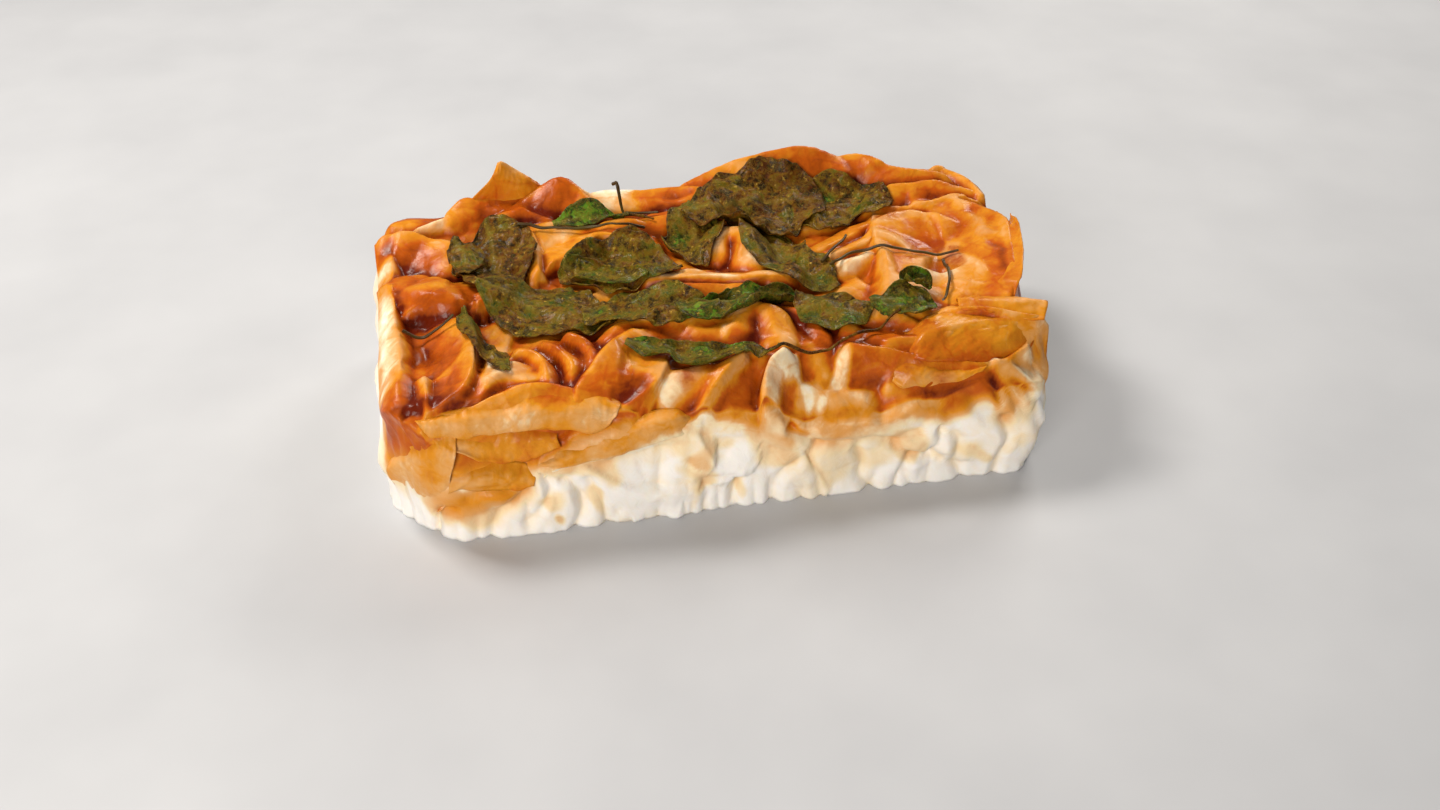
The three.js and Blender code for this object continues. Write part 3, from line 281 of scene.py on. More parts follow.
SHEETS = {
    "filo_tip": {
        "tip": ((0.4, 0.46, 0.5), [
            [(-58, 55, 67.4), (-56, 55, 67.6), (-50, 55, 63), (-43, 55, 57)],
            [(-61, 54, 62), (-56, 53, 62), (-50, 53, 59), (-42, 54, 56)],
            [(-69, 54, 54), (-60, 52, 51), (-50, 52, 50), (-41, 53, 52)],
        ], "first ends"),
    },
    "filo_curl": {
        "curl": ((0.5, 0.46, 0.4), [
            [(109, 8, 58), (106, -9, 58), (100, -27, 57), (94, -37, 53)],
            [(107, 6, 55), (103, -8, 55), (97, -24, 54), (91, -33, 51)],
            [(103, 5, 50), (100, -9, 50), (94, -22, 50), (87, -30, 49)],
        ], "first"),
    },
    "filo_right_flap": {
        "flap_right_top": ((0.40, 0.42, 0.46), [
            [(79, -28, 48), (87, -29, 49.5), (95, -32, 50), (104, -36, 49.5)],
            [(77, -34, 51.5), (85, -35, 52), (94, -38, 52), (104, -41, 51.2)],
            [(76, -39, 50.8), (84, -41.5, 50.6), (92, -44, 49.8), (101, -46.5, 48.4)],
        ], "last ends"),
        "panel": ((0.44, 0.40, 0.50, 0.62), [
            [(60, -37, 49), (70, -37, 50), (80, -38, 50.4), (90, -40, 49.6), (98, -43, 48.4)],
            [(58, -42.5, 48.2), (67, -42.8, 49.6), (78, -43, 49.8), (89, -44, 48.6), (99, -46.5, 46.8)],
            [(56.6, -47.4, 46), (64, -48, 47.6), (73, -48, 47.6), (84, -48.6, 46), (96, -50, 43.6)],
            [(55, -49.6, 44), (61.3, -52, 44), (69, -52.8, 42.6), (77, -53.6, 42), (86, -53.2, 41)],
        ], ""),
        "pocket": ((0.56, 0.42, 0.30), [
            [(53, -49, 43.6), (61, -52.2, 43.4), (68, -52.8, 41.2), (77, -54, 41), (81, -53, 41)],
            [(51, -51.2, 40), (58, -54.6, 39.6), (65, -55.2, 39), (74, -56, 39.4), (80.6, -55, 40.4)],
            [(50, -52, 37), (55.1, -55.8, 36), (62, -56.4, 36.2), (71, -56.8, 36.8), (79, -56.4, 39.6)],
        ], "last ends"),
    },
    "filo_front_left": {
        "ribbon": ((0.56, 0.36, 0.30), [
            [(-92, -49.5, 44), (-83, -50.5, 45.5), (-76, -50.5, 46), (-66, -50.5, 46.5), (-56, -50, 48),
             (-45, -50.5, 47.5), (-37, -52, 46), (-31, -54.5, 43.5)],
            [(-90.5, -53.2, 43.2), (-84, -54.5, 43.2), (-76, -55, 43.3), (-66, -55.2, 43.5), (-57, -55, 44),
             (-46, -56, 43.6), (-38, -57, 42.6), (-32, -57.2, 42.4)],
            [(-89.3, -55.3, 41.6), (-86.5, -57.2, 39.6), (-76, -58, 38.9), (-67, -57.8, 38.7),
             (-58.5, -57.8, 38.4), (-49.9, -58.4, 37.8), (-39.1, -59.4, 36.2), (-33.5, -58.3, 40)],
        ], "last ends"),
        "strip": ((0.6, 0.46, 0.38), [
            [(-87, -55.5, 41), (-76, -56.3, 40), (-67, -56.2, 39.5), (-58.4, -56.2, 39.3),
             (-50, -56.8, 38.6)],
            [(-86, -57, 38.5), (-77, -58, 36), (-69, -58.2, 34), (-60, -58.2, 34), (-51, -58.4, 35)],
            [(-85.3, -58, 36.5), (-79.5, -59, 34.6), (-73.8, -59.8, 30.5), (-68, -59.4, 28.7),
             (-62, -59.2, 28.1), (-56, -59.2, 30.2), (-50.3, -58.8, 32.1)],
        ], "last ends"),
        "low_strip": ((0.42, 0.32, 0.28), [
            [(-81.5, -59, 30), (-76, -59.4, 29.6), (-68, -59, 29), (-62.5, -59, 27.5), (-59, -59.5, 25.8)],
            [(-83, -60.2, 25.5), (-76.5, -60.6, 25.3), (-68.5, -60.5, 24.2), (-62.8, -60.5, 23.2),
             (-58.4, -60.4, 22.6)],
            [(-84, -60.8, 21.6), (-77.7, -61.2, 21.2), (-69.1, -61, 19.8), (-63.3, -60.8, 19.4),
             (-59, -60.4, 20.1)],
        ], "last ends"),
        "facet": ((0.46, 0.34, 0.28, 0.08), [
            [(-99.5, -43.5, 27), (-95.7, -49.2, 32), (-90.6, -54.4, 37), (-84, -57.3, 40.5),
             (-79.6, -58.4, 39.5)],
            [(-101, -44.2, 22), (-96.5, -49.8, 26), (-91.3, -55.2, 30), (-85.5, -59.2, 33.5),
             (-80.6, -60.6, 34)],
            [(-101.5, -43.5, 14), (-97, -49, 17), (-92, -55, 20), (-87, -59.4, 23.5), (-82.8, -61, 27)],
            [(-98, -41, 5), (-94.6, -45.5, 7), (-90.6, -50.6, 9), (-86.4, -55, 13), (-83.5, -57.5, 18)],
        ], "ends"),
        "roll": ((0.46, 0.38, 0.3, 0.1), [
            [(-64, -58, 26), (-55, -58.6, 29.3), (-50.5, -58.8, 31.3), (-38.8, -59, 35.5),
             (-26.6, -58, 39.3), (-16, -57.4, 40), (-9, -57.5, 37.5)],
            [(-62, -60.4, 24.5), (-53.5, -61, 28), (-48, -61.3, 30), (-37.3, -61.3, 33.4),
             (-26, -60.8, 36.6), (-16, -60.4, 37.6), (-9.5, -59.8, 36)],
            [(-59.4, -61, 21.5), (-52.2, -61.6, 26), (-46, -61.8, 27.4), (-36, -61.7, 30),
             (-25.8, -61.3, 33), (-16, -60.9, 34.5), (-10, -60.1, 34)],
            [(-58.5, -60.4, 19.3), (-52, -60.6, 24.6), (-45, -60.8, 25.6), (-35.5, -60.7, 26.8),
             (-25.6, -60.4, 29.6), (-16, -60.2, 31.5), (-10, -59.6, 32)],
        ], ""),
    },
}
SHEET_CELL = 0.7
SHEET_THICKNESS = 0.35
EDGE_TUCK = 3.0                 # how deep a folded edge is tucked into the pie
EDGE_TURN = 1.2                 # how far it turns back under its sheet
FIRST_TUCK = 1.5                # how deep the first rail is tucked in

# ---- leaves and stems ------------------------------------------------------------------------
# A leaf's midrib runs through `rib`; `left` and `right` are how wide it is on each side, from its
# foot to its tip, and `roll` how much of each half curls up and over, round the radius `curl`.
# `crumple` is the height of its wrinkles and `ragged` how uneven its outline is; `green` goes from 0,
# baked brown, to 1, bright green. Its stem, where it has one, runs on from the rib's end.

Leaf = namedtuple("Leaf", "rib left right roll curl crumple ragged green stem", defaults=((),))

LEAVES = {
    "leaf_left": Leaf([(-64, 44), (-63, 33), (-63, 18), (-61, 4), (-59, -8)], (2, 13, 14, 11, 8, 1),
                      (2, 10, 15, 13, 9, 1), (0.1, 0.1), 2.5, 1.3, 0.14, 0.22),
    "leaf_front_left": Leaf([(-69, 0), (-56, -6), (-43, -13), (-29, -20)], (2, 9, 14, 16, 13, 2),
                            (2, 10, 13, 13, 9, 2), (0.08, 0.1), 2.5, 1.1, 0.12, 0.42),
    "leaf_front_middle": Leaf([(-38, -16), (-16, -15), (6, -20)], (4, 10, 12, 12, 10, 3),
                              (3, 10, 12, 12, 9, 3), (0.1, 0.12), 2.2, 1.0, 0.12, 0.45),
    "leaf_tail": Leaf([(-74, -8), (-72, -22), (-67, -34), (-63, -44)], (1, 3, 4, 4, 4, 1),
                      (1, 3, 4, 4, 4, 1), (0.25, 0.25), 1.5, 0.8, 0.2, 0.4),
    "leaf_bright": Leaf([(-42, 37), (-30, 40), (-16, 36)], (1, 4, 5, 5, 4, 1), (1, 3, 4, 4, 3, 1),
                        (0.25, 0.1), 2.0, 0.5, 0.1, 0.98, stem=[(-11, 36), (-8, 34)]),
    "leaf_curled": Leaf([(-43, 11), (-30, 12), (-16, 10), (-3, 6)], (2, 10, 14, 14, 11, 3),
                        (2, 8, 14, 15, 11, 3), (0.12, 0.1), 2.6, 1.1, 0.1, 0.4),
    "leaf_centre": Leaf([(5, 42), (5, 26), (4, 9)], (2, 8, 10, 9, 6, 2), (2, 8, 11, 11, 7, 2),
                        (0.25, 0.15), 2.6, 0.9, 0.1, 0.4),
    "leaf_slope": Leaf([(27, 30), (28, 16), (34, 2), (44, -12)], (3, 10, 11, 10, 8, 3),
                       (3, 9, 11, 11, 8, 2), (0.1, 0.1), 2.2, 0.8, 0.1, 0.42),
    "leaf_back_right": Leaf([(38, 35), (52, 36), (64, 34), (74, 29)], (5, 10, 12, 11, 9, 3),
                            (4, 12, 15, 14, 9, 3), (0.1, 0.1), 2.4, 1.2, 0.1, 0.3),
    "leaf_back": Leaf([(2, 33), (18, 38), (34, 39), (52, 37)], (2, 8, 12, 13, 12, 5),
                      (3, 12, 17, 18, 15, 5), (0.1, 0.1), 2.4, 1.2, 0.1, 0.2),
    "leaf_rolled": Leaf([(-9, -23), (6, -21), (20, -17), (34, -15)], (3, 9, 10, 9, 7, 2),
                        (3, 9, 10, 10, 7, 2), (0.35, 0.4), 2.0, 1.0, 0.14, 0.72),
    "leaf_round": Leaf([(27, -29), (39, -27), (52, -27)], (3, 10, 12, 12, 9, 3), (3, 9, 11, 12, 10, 3),
                       (0.05, 0.08), 2.4, 0.8, 0.015, 0.5),
    "leaf_right": Leaf([(50, -30), (60, -31), (71, -32)], (2, 5, 7, 8, 7, 2), (2, 5, 6, 6, 5, 2),
                       (0.5, 0.3), 2.6, 1.2, 0.2, 0.78),
    "leaf_front": Leaf([(-27, -35), (-12, -41), (4, -44), (18, -45)], (2, 6, 7, 6, 4, 1),
                       (2, 6, 7, 6, 4, 1), (0.35, 0.35), 1.8, 1.0, 0.16, 0.68,
                       stem=[(34, -44), (48, -40), (58, -36)]),
}
# Parts of leaves that fold over or stand up on their own.
LEAF_FOLDS = {
    "leaf_curled": Leaf([(-41, 13), (-31, 8), (-15, 0)], (2, 6, 7, 5, 4, 1), (1, 4, 5, 5, 4, 1),
                        (0.7, 0.2), 2.0, 0.6, 0.1, 0.62),
    "leaf_right": Leaf([(63, -24), (67, -22), (71, -25)], (2, 6, 8, 8, 6, 2), (2, 5, 6, 6, 4, 2),
                       (0.9, 0.6), 3.2, 0.8, 0.2, 0.85),
    "leaf_left": Leaf([(-75, 30), (-72, 20), (-73, 8)], (2, 5, 7, 6, 5, 2), (2, 4, 5, 5, 4, 2),
                      (0.2, 0.3), 2.0, 1.2, 0.2, 0.25),
}

STEMS = {
    "stem_long": [(-54, 37), (-40, 34), (-27, 32), (-12, 30)],
    "stem_upright": [(-20, 46, 60), (-18, 43, 56), (-14, 40), (-6, 38)],
    "stem_left": [(-93, -15), (-85, -16), (-77, -15)],
    "stem_fork": [(42, -1), (48, 6), (54, 14)],
    "stem_right": [(44, -4), (54, 2), (66, 0), (78, -3), (87, -5)],
    "stem_bent": [(81, -7), (80, -18), (74, -30)],
}

LEAF_CELL = 0.65
LEAF_THICKNESS = 0.35
LEAF_WRINKLE_SPACING = 4.0
LEAF_STIFFNESS = 1.6            # how far a leaf, or a stem, bridges the hollows that it lies over
STEM_STIFFNESS = 2.0
STEM_WOBBLE = 0.25
STEM_WAVE = 9
REST_GAP = 0.1

# ---- stage -------------------------------------------------------------------------------------
# The camera's seat is in millimetres on the plan; lamps stand at metres from the origin, with their
# size in metres and their power in watts.

CAMERA_SEAT = (-63.7, -391.2, 292.3)
CAMERA_AHEAD = (0.1445, 0.7884, -0.5980)
CAMERA_ROLL = -0.5              # degrees
LENS = 35.9
SENSOR_WIDTH = 36
LAMPS = (
    ("key", (-0.46, 0.32, 0.78), 0.28, 7.5),
    ("front", (-0.50, -0.90, 0.45), 0.45, 8.2),
    ("rim", (0.5, 0.6, 0.6), 0.35, 4),
)
LAMP_AIM = (0, 0, 0.03)
LAMP_COLOR = (1.0, 0.95, 0.87)
WORLD_COLOR = (1.0, 0.97, 0.93, 1)
WORLD_STRENGTH = 0.17
TABLE_REACH = 3                 # metres


# ---- settings a user would change ------------------------------------------------------------

class PieShape(bpy.types.PropertyGroup):
    """Sizes of the pie's surface."""

    crinkle: bpy.props.FloatProperty(
        name="Crinkle", description="Height of the small folds, as a share of the usual",
        default=0.7, min=0.0, max=2.0, subtype="FACTOR")
    pleat: bpy.props.FloatProperty(
        name="Pleat depth", description="Depth of the pleats at the foot of the walls",
        default=PLEAT_DEPTH * MM, min=0.0, max=6 * MM, unit="LENGTH", precision=4)
    stem: bpy.props.FloatProperty(
        name="Stem thickness", description="Diameter of the spinach stems",
        default=1.05 * MM, min=0.5 * MM, max=4 * MM, unit="LENGTH", precision=4)


class PieFinish(bpy.types.PropertyGroup):
    """Colours of the bake."""

    cream: bpy.props.FloatVectorProperty(
        name="Cream", description="Filo that stayed pale", subtype="COLOR",
        default=(0.90, 0.72, 0.46), min=0.0, max=1.0)
    golden: bpy.props.FloatVectorProperty(
        name="Golden", description="Filo that has coloured", subtype="COLOR",
        default=(0.69, 0.255, 0.012), min=0.0, max=1.0)
    toasted: bpy.props.FloatVectorProperty(
        name="Toasted", description="Browned ridges", subtype="COLOR",
        default=(0.50, 0.095, 0.004), min=0.0, max=1.0)
    caramel: bpy.props.FloatVectorProperty(
        name="Caramel", description="Dark pools and burnt edges", subtype="COLOR",
        default=(0.13, 0.012, 0.002), min=0.0, max=1.0)


# ---- curves and waves ------------------------------------------------------------------------

def smooth(t):
    """An S curve from 0 to 1."""
    t = np.clip(t, 0, 1)
    return t * t * (3 - 2 * t)


def zigzag(t):
    """A zigzag between -1 and 1 with a period of 1."""
    return 4 * np.abs(t - np.floor(t + 0.5)) - 1


def waves(x, y, size, seed):
    """Slow uneven waves about `size` mm long, mostly between -1 and 1."""
    rnd = random.Random(seed)
    total = np.zeros(np.shape(x))
    for _ in range(7):
        turn = rnd.uniform(0, 2 * math.pi)
        pitch = 2 * math.pi / (size * rnd.uniform(0.7, 1.5))
        total += np.sin(pitch * (x * math.cos(turn) + y * math.sin(turn)) + rnd.uniform(0, 2 * math.pi))
    return total / 2.6


def spline(points, steps):
    """`steps` + 1 points on a smooth curve through the given ones, or rails on a smooth sheet."""
    points = np.asarray(points, float)
    padded = np.concatenate([2 * points[:1] - points[1:2], points, 2 * points[-1:] - points[-2:-1]])
    spans = len(points) - 1
    out = []
    for place in np.linspace(0, spans, steps + 1):
        i = min(int(place), spans - 1)
        t = place - i
        a, b, c, d = padded[i:i + 4]
        out.append(0.5 * (2 * b + (c - a) * t + (2 * a - 5 * b + 4 * c - d) * t ** 2
                          + (3 * b - a - 3 * c + d) * t ** 3))
    return np.array(out)


def seed_of(name):
    """A seed that belongs to a name."""
    return sum(map(ord, name))


def unit(vectors):
    """Vectors brought to length 1."""
    return vectors / (np.linalg.norm(vectors, axis=-1, keepdims=True) + 1e-9)


def length_of(points):
    """Length of a line through points."""
    return float(np.linalg.norm(np.diff(np.asarray(points, float), axis=0), axis=1).sum())


# ---- relief ----------------------------------------------------------------------------------

def along_crest(line, left, right, x, y):
    """How far each point is down a fold, and what the crest is like there."""
    share = np.full(x.shape, 9.0)
    top = np.zeros(x.shape)
    side = np.zeros(x.shape)
    across_x = np.zeros(x.shape)
    across_y = np.zeros(x.shape)
    for a, b in zip(line[:-1], line[1:]):
        dx, dy = b[0] - a[0], b[1] - a[1]
        run = math.hypot(dx, dy) + 1e-9
        t = np.clip(((x - a[0]) * dx + (y - a[1]) * dy) / run ** 2, 0, 1)
        away = np.hypot(x - a[0] - t * dx, y - a[1] - t * dy)
        on_left = dx * (y - a[1]) - dy * (x - a[0]) > 0
        here = away / np.where(on_left, left, right)
        closer = here < share
        share = np.where(closer, here, share)
        top = np.where(closer, a[2] + (b[2] - a[2]) * t, top)
        side = np.where(closer, on_left, side)
        across_x = np.where(closer, -dy / run, across_x)
        across_y = np.where(closer, dx / run, across_y)
    return share, top, side, across_x, across_y


def fall(share, round_):
    """Height of a fold at a share of its width: straight, or swollen where it is round."""
    share = np.minimum(share, 1)
    return (1 - round_) * (1 - share) + round_ * np.sqrt(1 - share ** 2)


class Relief:
    """A height over a plan, built up fold by fold; each point belongs to the fold that is highest."""

    def __init__(self, x, y, ground):
        self.x, self.y = x, y
        self.z = ground.copy()
        self.lean_x = np.zeros(x.shape)
        self.lean_y = np.zeros(x.shape)
        self.crest = np.zeros(x.shape)
        self.tone = np.zeros(x.shape)

    def add(self, line, left, right, round_, lean, tones, ground=None):
        """Lays one fold; ground is None where the crest's z is a height above what is there."""
        reach = max(left, right)
        low, high = line.min(axis=0) - reach, line.max(axis=0) + reach
        near = (self.x > low[0]) & (self.x < high[0]) & (self.y > low[1]) & (self.y < high[1])
        if not near.any():
            return
        share, top, side, across_x, across_y = along_crest(line, left, right, self.x[near], self.y[near])
        base = 0 if ground is None else ground[near]
        height = base + np.maximum(top - base, 0) * fall(share, round_)
        wins = (share < 1) & (height > self.z[near])
        pull = np.clip(1 - share, 0, 1) ** 1.5
        tone = tones[1] + (np.where(side > 0, tones[0], tones[2]) - tones[1]) * np.minimum(share, 1) ** 0.7
        for store, value in ((self.z, height), (self.lean_x, across_x * lean * pull),
                             (self.lean_y, across_y * lean * pull), (self.crest, pull), (self.tone, tone)):
            part = store[near]
            part[wins] = value[wins]
            store[near] = part


def plateau(x, y):
    """How high the sheet lies before it is folded: it rounds over to the front rim and the ends."""
    right = smooth((x + 5) / 30)
    reach = LEFT_SHOULDER + (RIGHT_SHOULDER - LEFT_SHOULDER) * right
    out = np.clip((-y - HALF_DEPTH + reach) / reach, 0, 1)
    front = (TOP_HEIGHT - np.interp(x, *zip(*FRONT_RIM))) * out ** (1.4 - 0.7 * right)
    end = np.clip((np.abs(x) - HALF_LENGTH + END_SHOULDER) / END_SHOULDER, 0, 1) ** 1.7
    end = end * np.where(x < 0, LEFT_END_DROP, RIGHT_END_DROP * smooth((10 - y) / 30))
    back = smooth((y - 0.3 * HALF_DEPTH) / (0.6 * HALF_DEPTH))
    return TOP_HEIGHT - np.hypot(front, end) + BACK_RISE * back


def crumple(x, y):
    """Shallow facets between the folds."""
    bent = 5 * np.sin(y / 17 + 1) + 4 * np.sin(x / 23)
    return 1.1 * (0.5 * zigzag((x + 0.45 * y + bent) / 19)
                  + 0.45 * zigzag((0.35 * x - y + 0.7 * bent) / 15 + 0.3)
                  + 0.4 * zigzag((x - 0.8 * y - bent) / 27 + 0.6))


def main_relief(x, y):
    """The folds that the pie is known by."""
    ground = plateau(x, y) + crumple(x, y)
    relief = Relief(x, y, ground)
    relief.tone += 0.42 - 0.14 * smooth((x + 22) / 12) * smooth((-y - 41) / 8)
    for crest, left, right, round_, tones in FOLDS:
        line = spline(crest, max(4, math.ceil(length_of(crest) / FOLD_STEP)))
        lean = FOLD_LEAN if left < right - 1 else (-FOLD_LEAN if right < left - 1 else 0)
        relief.add(line, left, right, round_, lean, tones, ground)
    return relief


def crinkle_lines(x_reach, y_reach, count, seed, spacing):
    """Short bent crests strewn without crowding, mostly along the nearest edge."""
    rnd = random.Random(seed)
    seats = []
    lines = []
    for _ in range(60 * count):
        if len(lines) == count:
            break
        x, y = rnd.uniform(-x_reach, x_reach), rnd.uniform(-y_reach, y_reach)
        if any(math.hypot(x - a, y - b) < spacing for a, b in seats):
            continue
        seats.append((x, y))
        to_end, to_side = x_reach - abs(x), y_reach - abs(y)
        rim = max(0, 1 - min(to_end, to_side) / 22)
        turn = 0 if to_side < to_end else math.pi / 2
        turn = turn + rnd.gauss(0, 0.35) if rnd.random() < rim + 0.25 else rnd.uniform(0, 2 * math.pi)
        turn += math.pi * (rnd.random() < 0.5)
        span, bend = rnd.uniform(12, 34), rnd.uniform(-0.9, 0.9)
        height = rnd.uniform(1.2, 3.4) * (1.4 if rnd.random() < 0.3 else 1)
        points = []
        for k in range(5):
            q = k / 4 - 0.5
            way = turn + bend * q
            side = bend * span * 0.35 * (q * q - 0.08)
            rise = height * (1 - (2 * abs(q)) ** 2.2 * rnd.uniform(0.5, 0.95))
            points.append((x + span * q * math.cos(way) - side * math.sin(turn),
                           y + span * q * math.sin(way) + side * math.cos(turn), rise))
        tone = rnd.uniform(-0.10, 0.10)
        lines.append((spline(points, 8), rnd.uniform(2.0, 3.4), rnd.uniform(5, 11), rnd.uniform(0.25, 0.8),
                      rnd.uniform(0.5, 1.6), (tone, tone - 0.04, tone + 0.04)))
    return lines


def crinkle_relief(x, y):
    """Small lopsided folds, each with a steep edge like that of a loose sheet."""
    relief = Relief(x, y, np.zeros(x.shape))
    for line in crinkle_lines(HALF_LENGTH - CRINKLE_MARGIN, HALF_DEPTH - CRINKLE_MARGIN,
                              CRINKLES, CRINKLE_SEED, CRINKLE_SPACING):
        relief.add(*line)
    return relief


# ---- plan and walls --------------------------------------------------------------------------

def plan(u, v):
    """Takes the square [-1, 1] x [-1, 1] to the plan, with rounded corners, and gives the way out."""
    front_radius = np.where(u < 0, FRONT_LEFT_RADIUS, FRONT_RIGHT_RADIUS)
    radius = np.where(v < 0, front_radius, CORNER_RADIUS)
    x, y = np.abs(u) * HALF_LENGTH, np.abs(v) * HALF_DEPTH
    inset_x, inset_y = HALF_LENGTH - radius, HALF_DEPTH - radius
    past_x, past_y = x - inset_x, y - inset_y
    out_x = np.where(np.abs(u) > np.abs(v), 1.0, 0.0)
    out_y = 1 - out_x
    corner = (past_x > 0) & (past_y > 0)
    reach = np.where(corner, np.hypot(past_x, past_y), 1.0)
    out_x = np.where(corner, past_x / reach, out_x)
    out_y = np.where(corner, past_y / reach, out_y)
    ring = np.maximum(past_x, past_y)
    x = np.where(corner, inset_x + out_x * ring, x)
    y = np.where(corner, inset_y + out_y * ring, y)
    turn_x, turn_y = np.where(u < 0, -1, 1), np.where(v < 0, -1, 1)
    x = x * turn_x + RIGHT_SKEW * np.maximum(u, 0) * (1 + v) / 2 + LEFT_INSET * np.maximum(-u, 0)
    return x, y * turn_y, out_x * turn_x, out_y * turn_y


def way_round(u, v):
    """How far round the pie a point on the edge of the square lies, in mm from the front left corner."""
    ends = np.where(u > 0, LENGTH + DEPTH * (v + 1) / 2, 2 * LENGTH + DEPTH + DEPTH * (1 - v) / 2)
    sides = np.where(v < 0, LENGTH * (u + 1) / 2, LENGTH + DEPTH + LENGTH * (1 - u) / 2)
    return np.where(np.abs(u) > np.abs(v), ends, sides)


def front_way(x):
    """How far round the pie a place on the front wall lies."""
    return (x / HALF_LENGTH + 1) * LENGTH / 2


def flutes(way, height):
    """Rounded pleats with sharp notches between them, strongest at the foot and slanting as they rise."""
    turn = 2 * np.pi * way / ROUND_TRIP
    slant = 9 * np.sin(5 * turn + 1.3) + 8 * np.sin(9 * turn + 0.4) + 4 * np.sin(17 * turn)
    place = way - slant * (height / FLUTE_RISE) ** 1.3
    turn = 2 * np.pi * place / ROUND_TRIP
    uneven = 2.8 * np.sin(5 * turn + 1) + 2.4 * np.sin(11 * turn + 2) + 1.4 * np.sin(19 * turn + 3)
    wide = np.abs(np.sin((FLUTES * turn + uneven) / 2))
    narrow = np.abs(np.sin((NARROW_FLUTES * turn + 1.8 * uneven) / 2 + 0.8))
    strong = 0.65 + 0.3 * np.sin(7 * turn + 4) + 0.25 * np.sin(16 * turn + 1)
    rise = 15 + 7 * np.sin(6 * turn + 2) + 5 * np.sin(17 * turn)
    low = smooth(1.35 - height / (1.6 * rise))
    tiny = smooth(1.25 - height / (0.6 * rise)) * np.clip(np.sin(8 * turn) + 0.3, 0, 1)
    return (strong * wide ** 0.8 * low * FLUTE_DEPTH + NARROW_FLUTE_DEPTH * narrow ** 0.8 * tiny
            - FLUTE_SINK)


def wall_relief(way, height):
    """How far the wall stands out: pleats at its foot, creases that slant across it, and its own folds."""
    relief = Relief(way, height, flutes(way, height))
    rnd = random.Random(WALL_SEED)
    ground = relief.z.copy()
    none = (0, 0, 0)
    for _ in range(WALL_FOLDS):
        at, up = rnd.uniform(0, ROUND_TRIP), rnd.uniform(14, 38)
        span, slant = rnd.uniform(14, 34), rnd.gauss(0, 0.3) + (1.2 if rnd.random() < 0.35 else 0)
        rise = rnd.uniform(1.2, 2.8)
        points = [(at - span / 2 * math.cos(slant), up + span / 2 * math.sin(slant), -0.5),
                  (at, up + rnd.uniform(-3, 3), rise),
                  (at + span / 2 * math.cos(slant), up - span / 2 * math.sin(slant), -0.5)]
        line = spline(points, 6)
        steep, gentle = rnd.uniform(1.6, 4), rnd.uniform(7, 13)
        if rnd.random() < 0.5:
            steep, gentle = gentle, steep
        for shift in (-ROUND_TRIP, 0, ROUND_TRIP):
            relief.add(line + (shift, 0, 0), steep, gentle, rnd.uniform(0.3, 0.8),
                       WALL_FOLD_LEAN, none, ground)
    for crest, left, right, round_, tones in WALL_CRESTS:
        line = spline([(front_way(x), z, out - 1) for x, z, out in crest], 16)
        relief.add(line, left, right, round_, WALL_CREST_LEAN, tones, ground)
    for notch in WALL_NOTCHES:
        line = spline([(front_way(x), z, 0) for x, z in notch], 12)
        share = along_crest(line, NOTCH_WIDTH, NOTCH_WIDTH, way, height)[0]
        relief.z -= NOTCH_DEPTH * np.clip(1 - share, 0, 1) ** 1.3
    return relief


# ---- loose sheets, made ----------------------------------------------------------------------

def inwards(point):
    """The way into the pie from a point on its surface."""
    on_front = smooth(np.array((-point[1] - 55) / 3)) * smooth(np.array((44 - point[2]) / 6))
    way = np.array([0, 0.15, -1]) * (1 - on_front) + np.array([0, 1, -0.25]) * on_front
    return way / np.linalg.norm(way)


def fold_under(rails, free):
    """Tucks the edges of a sheet into the pie, as folds, apart from the free ones."""
    rails = [np.array(rail, float) for rail in rails]
    if "first" not in free:
        rails[0] = np.array([point + FIRST_TUCK * inwards(point) for point in rails[0]])
    if "last" not in free:
        under = []
        for at, point in enumerate(rails[-1]):
            place = at * (len(rails[-2]) - 1) / max(1, len(rails[-1]) - 1)
            back = rails[-2][min(int(round(place)), len(rails[-2]) - 1)] - point
            under.append(point + EDGE_TUCK * inwards(point) + EDGE_TURN * unit(back))
        rails.append(np.array(under))
    return rails


def in_box(points):
    """Points in mm kept within the size of the pie."""
    low, high = (np.array(corner) / MM + (*CENTRE, 0) for corner in CAD_BOX)
    return np.clip(points, low, high)


